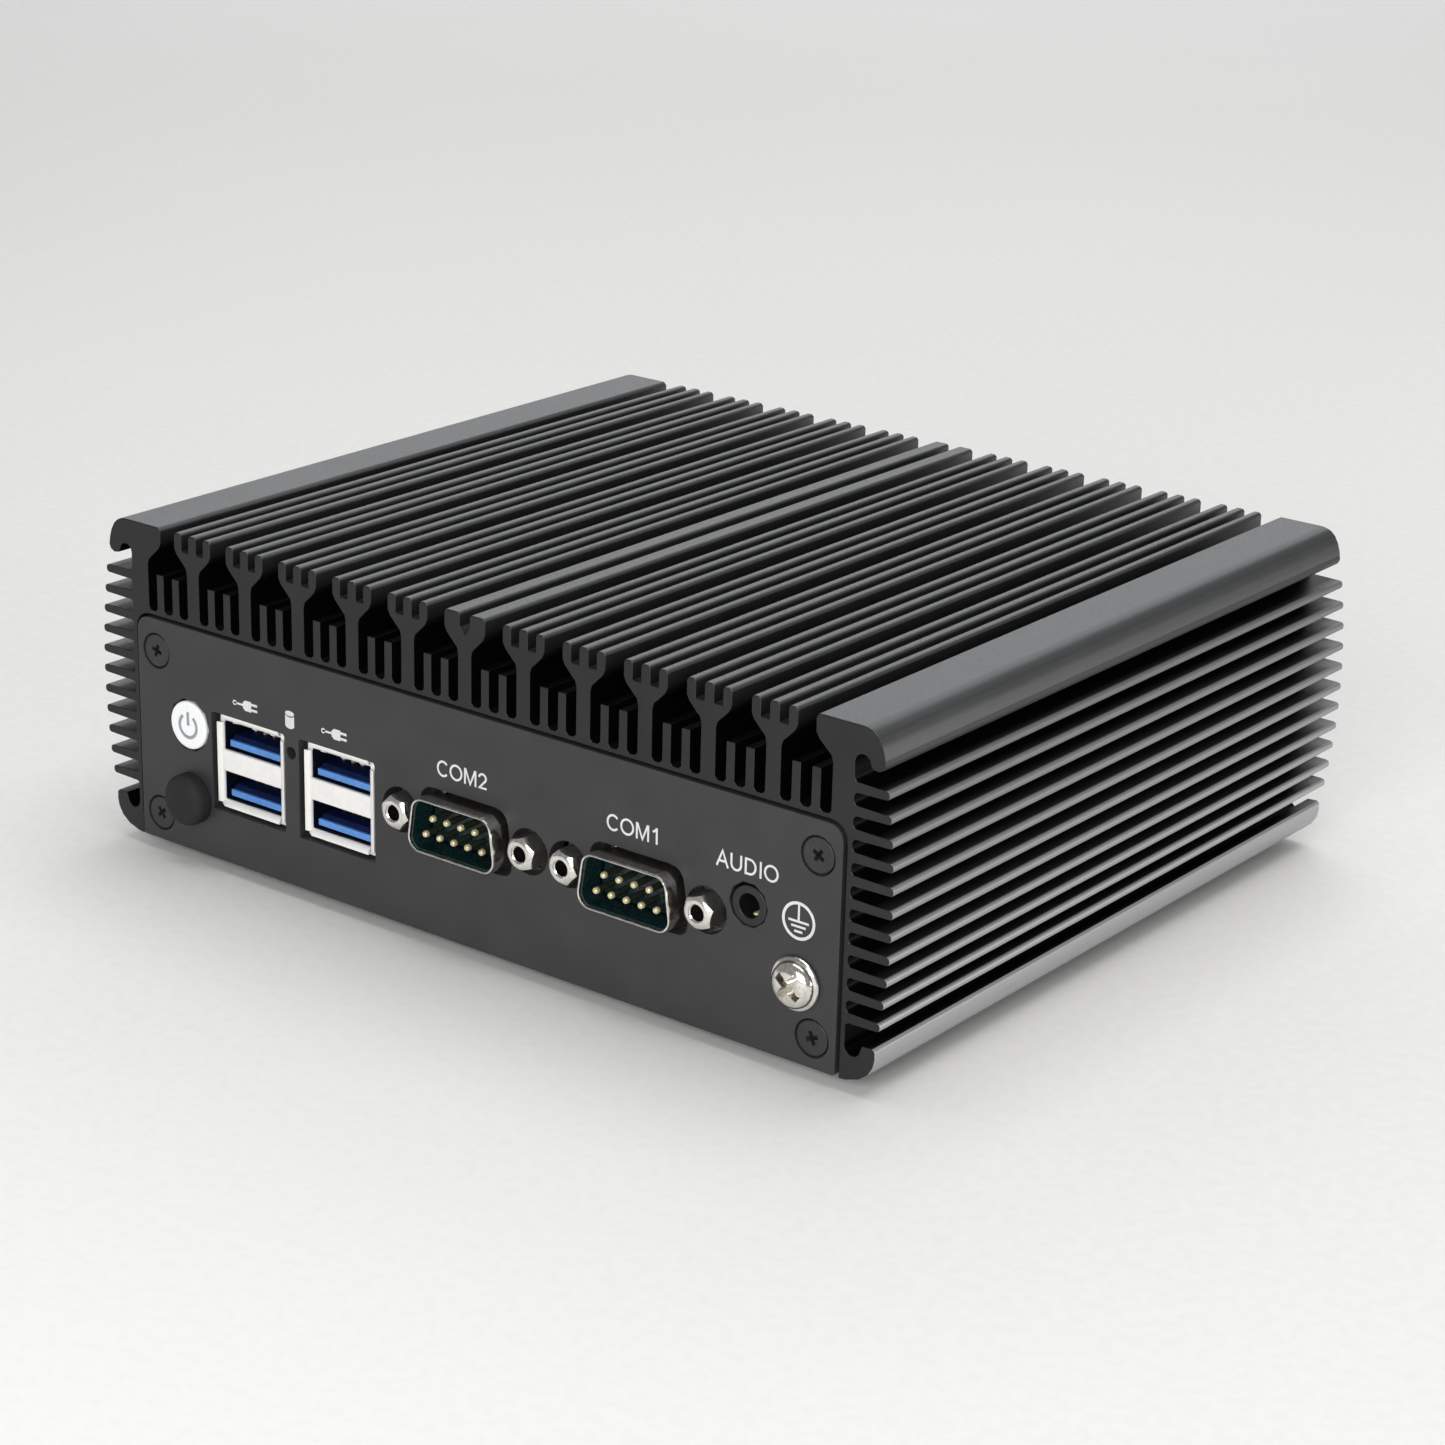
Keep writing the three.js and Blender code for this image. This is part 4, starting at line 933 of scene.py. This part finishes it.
for number in (1, 2):
    node = f"lan_port_{number}"
    softened(node, 0.15, SHEET)
    x, face, bottom = seen_x(node, back=True), -high(node).y, low(node).z
    floor = bottom + 1.6
    wires = []
    for u in (-3.57 + 1.02 * i for i in range(8)):
        # each wire slopes down into the socket
        ends = [(face + 2.2 + k * 6, floor + 7.7 - k * 3.2, floor + 7.4 - k * 3.2) for k in (0, 1)]
        wires.append(rings([[(u - 0.16, y, upper), (u + 0.16, y, upper), (u + 0.16, y, lower),
                             (u - 0.16, y, lower)] for y, upper, lower in ends]))
    piece(f"lan_contacts_{number}", moved(together(*wires), x), GOLD, back=True)
    for side, word, lamp in ((-1, "left", GREEN_LAMP), (1, "right", AMBER_LAMP)):
        window = brick((side * 6.0 - 1.2, side * 6.0 + 1.2), (face - 0.04, face + 0.6),
                       (bottom + 0.3, bottom + 1.3), 0.03)
        piece(f"lan_lamp_{number}_{word}", moved(window, x), lamp, back=True)

softened("hdmi_port", 0.12, SHEET)
tongue_face = -high("hdmi_port").y + 1.2
tongue = brick((-5.0, 5.0), (tongue_face - 0.05, tongue_face + 7.6), (-0.62, 0.62), 0.08)
piece("hdmi_tongue", moved(tongue, seen_x("hdmi_port", back=True), 0, low("hdmi_port").z + 2.95),
      BLACK_PLASTIC, back=True)

# ------------------------------------------------------------------ printed legends
INK_LAYER = (-0.03, 0.1)


def bow(x, z, rx, rz, start, end, steps=14):
    """Points along part of an ellipse, between two angles in degrees."""
    angles = (math.radians(start + (end - start) * i / steps) for i in range(steps + 1))
    return [(x + rx * math.cos(a), z + rz * math.sin(a)) for a in angles]


# each letter: its advance, its open strokes and its closed strokes, on a cap height of one
LETTERS = {
    "A": (0.93, [[(0.07, 0), (0.465, 0.96), (0.86, 0)], [(0.21, 0.34), (0.72, 0.34)]], []),
    "C": (1.01, [bow(0.52, 0.5, 0.41, 0.45, 42, 318, 22)], []),
    "D": (1.01, [], [[(0.165, 0.065), (0.165, 0.935)] + bow(0.44, 0.5, 0.41, 0.435, 90, -90, 16)]),
    "G": (1.09, [bow(0.54, 0.5, 0.43, 0.45, 45, 330, 22) + [(0.93, 0.46)], [(0.6, 0.46), (0.98, 0.46)]], []),
    "I": (0.39, [[(0.195, 0), (0.195, 1)]], []),
    "L": (0.78, [[(0.165, 1), (0.165, 0.065), (0.74, 0.065)]], []),
    "M": (1.16, [[(0.165, 0), (0.165, 1)], [(0.995, 0), (0.995, 1)],
                 [(0.2, 0.98), (0.58, 0.06), (0.96, 0.98)]], []),
    "N": (1.01, [[(0.165, 0), (0.165, 1)], [(0.845, 0), (0.845, 1)], [(0.18, 0.95), (0.83, 0.05)]], []),
    "O": (1.09, [], [bow(0.545, 0.5, 0.44, 0.45, 0, 345, 23)]),
    "U": (1.01, [[(0.165, 1)] + bow(0.505, 0.39, 0.34, 0.34, 180, 360) + [(0.845, 1)]], []),
    "V": (0.93, [[(0.06, 1), (0.465, 0.05), (0.87, 1)]], []),
    "1": (0.78, [[(0.46, 0), (0.46, 1)], [(0.17, 0.72), (0.33, 0.8), (0.45, 0.95)]], []),
    "2": (0.78, [bow(0.385, 0.69, 0.27, 0.25, 175, -38) + [(0.15, 0.07), (0.7, 0.07)]], []),
    " ": (0.39, [], []),
}
STROKE_WEIGHT = 0.135


def beside(points, distance, closed):
    """The line that runs beside a stroke's middle line."""
    count, line = len(points), []
    for i, point in enumerate(points):
        around = [Vector(points[(i + k) % count]) for k in (-1, 0, 1)]
        ways = [(b - a).normalized() for a, b in zip(around, around[1:])]
        if not closed and i in (0, count - 1):
            ways = [ways[1] if i == 0 else ways[0]]
        normals = [Vector((-way.y, way.x)) for way in ways]
        lean = sum(normals, Vector((0, 0))).normalized()
        line.append(tuple(Vector(point) + lean * distance / max(lean.dot(normals[0]), 0.5)))
    return line


def lettering(words, height):
    """Plain sans-serif capitals, drawn round their own centre."""
    strokes, pen = [], 0.0
    width = sum(LETTERS[letter][0] for letter in words)
    half_weight = STROKE_WEIGHT / 2
    for letter in words:
        advance, opened, closed = LETTERS[letter]
        for stroke, is_closed in [(line, False) for line in opened] + [(line, True) for line in closed]:
            line = [((x + pen - width / 2) * height, (z - 0.5) * height) for x, z in stroke]
            sides = [beside(line, side * half_weight * height, is_closed) for side in (1, -1)]
            # strokes that cross have faces at slightly different heights
            face = -0.001 * len(strokes)
            strokes.append(plate(sides if is_closed else [sides[0] + sides[1][::-1]], face, 0.1))
        pen += advance
    return together(*strokes)


def legend(name, mesh, x, z, back):
    """Prints a flat mesh, drawn round its own centre, on a panel."""
    depths = [vertex.co.y for vertex in mesh.vertices]
    squeeze = (INK_LAYER[1] - INK_LAYER[0]) / (max(depths) - min(depths))
    mesh.transform(Matrix.Translation((x, PANEL_FACE + INK_LAYER[0], z)) @ Matrix.Diagonal((1, squeeze, 1, 1))
                   @ Matrix.Translation((0, -min(depths), 0)))
    piece("legend_" + name, mesh, INK, back=back)


def icon(*shapes):
    """Flat shapes side by side; a shape is an outline, or a list of an outline and its holes."""
    return together(*[plate(shape if isinstance(shape[0], list) else [shape], 0, 0.1) for shape in shapes])


def plug_icon():
    cable = rectangle(-2.7, -0.7, -0.16, 0.16)
    end = ellipse(-2.5, 0, 0.42, 0.42, 24)
    body = [(-0.7, -0.45), (-0.2, -0.85), (1.1, -0.85), (1.1, 0.85), (-0.2, 0.85), (-0.7, 0.45)]
    prongs = [rectangle(1.1, 2.4, z - 0.2, z + 0.2) for z in (-0.45, 0.45)]
    return icon(end, cable, body, *prongs)


def drive_icon():
    lid = ellipse(0, 1.05, 0.95, 0.42, 28)
    body = [(-0.95, 0.75), (-0.55, 0.5), (0, 0.4), (0.55, 0.5), (0.95, 0.75), (0.95, -1.05), (0.55, -1.35),
            (0, -1.45), (-0.55, -1.35), (-0.95, -1.05)]
    return icon(lid, body)


def earth_icon():
    ring = [ellipse(0, 0, radius, radius, 56) for radius in (2.85, 2.4)]
    half_stroke = 0.17
    bars = [rectangle(-half, half, z - half_stroke, z + half_stroke)
            for half, z in ((1.75, -0.1), (1.25, -0.85), (0.7, -1.6))]
    return icon(ring, rectangle(-half_stroke, half_stroke, 0.05, 2.42), *bars)


def screen_icon():
    frame_lines = [rectangle(-2.2, 2.2, -0.9, 1.6, 0.3), rectangle(-1.8, 1.8, -0.5, 1.2, 0.15)]
    return icon(frame_lines, rectangle(-1.1, 1.1, -1.7, -1.3))


FRONT_TEXT, REAR_TEXT = 2.5, 2.2
# each legend: its shape, the node it stands over, its shift to the side and its depth below the case's top
FRONT_LEGENDS = {
    "com2": (lettering("COM2", FRONT_TEXT), "com2_shell", -0.3, 24.95),
    "com1": (lettering("COM1", FRONT_TEXT), "com1_shell", -0.6, 24.95),
    "audio": (lettering("AUDIO", FRONT_TEXT), "audio_jack", -0.3, 25.1),
    "port_left": (plug_icon(), "usb_shell_1", -0.1, 24.85),
    "port_right": (plug_icon(), "usb_shell_2", -0.1, 24.9),
    "drive": (drive_icon(), "status_lamp", -0.1, 24.9),
    "earth": (earth_icon(), "ground_screw", 0, 30.8),
}
REAR_LEGENDS = {
    "lan1": (lettering("LAN1", REAR_TEXT), "lan_port_1", 0, 24.0),
    "lan2": (lettering("LAN2", REAR_TEXT), "lan_port_2", 0, 24.0),
    "vga": (lettering("VGA", REAR_TEXT), "vga_shell", 0, 24.9),
    "dc": (lettering("DC IN", REAR_TEXT), "dc_power_inlet", 0, 24.9),
    "screen": (screen_icon(), "hdmi_port", 0, 24.9),
}
for legends, back in ((FRONT_LEGENDS, False), (REAR_LEGENDS, True)):
    for name, (shape, node, shift, depth) in legends.items():
        legend(name, shape, seen_x(node, back) + shift, TOP - depth, back)

# ------------------------------------------------------------------ pieces that keep their CAD shape

for node, material in {
    "status_lamp": LAMP, "switch_plunger": BLACK_PLASTIC, "power_switch": BLACK_PLASTIC,
    "memory_socket": BLACK_PLASTIC, "mainboard": BOARD, "memory_module": BOARD, "wireless_card": BOARD,
    "processor": CHIP, "heat_transfer_block": HEAT_BLOCK, "storage_drive": DRIVE, "coin_cell": DRIVE,
    **{f"board_standoff_{number}": NICKEL for number in range(1, 5)},
}.items():
    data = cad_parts[node].data
    data.materials.clear()
    data.materials.append(material)

# ------------------------------------------------------------------ floor, light and camera


def stage():
    """A pale floor, four metres to each side."""
    bm = bmesh.new()
    reach = 4.0
    for corner in ((-reach, -reach), (reach, -reach), (reach, reach), (-reach, reach)):
        bm.verts.new((*corner, 0))
    bm.faces.new(bm.verts)
    floor = bpy.data.objects.new("floor", mesh_from(bm))
    paint = surface("floor", shade(226, 225, 222), shade(230, 229, 227), (0.7, 0.8), grain=2, patch=400,
                    bump=0.0, specular=0.2)
    floor.data.materials.append(paint)
    bpy.context.scene.collection.objects.link(floor)


def softbox(name, at, towards, size, watts, tint=(1, 1, 1)):
    """A rectangular light; its places and its size are in metres."""
    light = bpy.data.lights.new(name, "AREA")
    light.shape, light.size, light.size_y = "RECTANGLE", size[0], size[1]
    light.energy, light.color = watts, tint
    obj = bpy.data.objects.new(name, light)
    obj.location = at
    obj.rotation_euler = (Vector(towards) - Vector(at)).to_track_quat("-Z", "Y").to_euler()
    bpy.context.scene.collection.objects.link(obj)


stage()
softbox("top_light", (0.1, 0.15, 1.0), (0.1, 0.05, 0), (0.9, 0.9), 6.5)
softbox("back_light", (-0.75, 1.0, 0.62), (0, 0, 0.05), (1.5, 0.8), 5.6, (0.96, 0.98, 1.0))
softbox("right_light", (0.9, 0.3, 0.1), (0.05, 0, 0.01), (0.5, 0.14), 3.2)
softbox("front_light", (0.3, -0.7, 0.3), (0.03, 0, 0.02), (0.5, 0.4), 4.4)

world = bpy.data.worlds.new("studio")
bpy.context.scene.world = world
world.use_nodes = True
world.node_tree.nodes["Background"].inputs["Color"].default_value = (0.86, 0.87, 0.88, 1)
world.node_tree.nodes["Background"].inputs["Strength"].default_value = 0.3

LENS_LENGTH = 85.89
CAMERA_PLACE = (0.31859, -0.41779, 0.2107)
CAMERA_TURN = (70.097, -1.411, 37.881)
lens = bpy.data.cameras.new("camera")
lens.sensor_fit, lens.sensor_width, lens.lens = "HORIZONTAL", 36, LENS_LENGTH
lens.clip_start, lens.clip_end = 0.01, 20
camera = bpy.data.objects.new("camera", lens)
camera.location = CAMERA_PLACE
camera.rotation_euler = [math.radians(angle) for angle in CAMERA_TURN]
bpy.context.scene.collection.objects.link(camera)
bpy.context.scene.camera = camera
bpy.context.scene.view_settings.view_transform = "Standard"
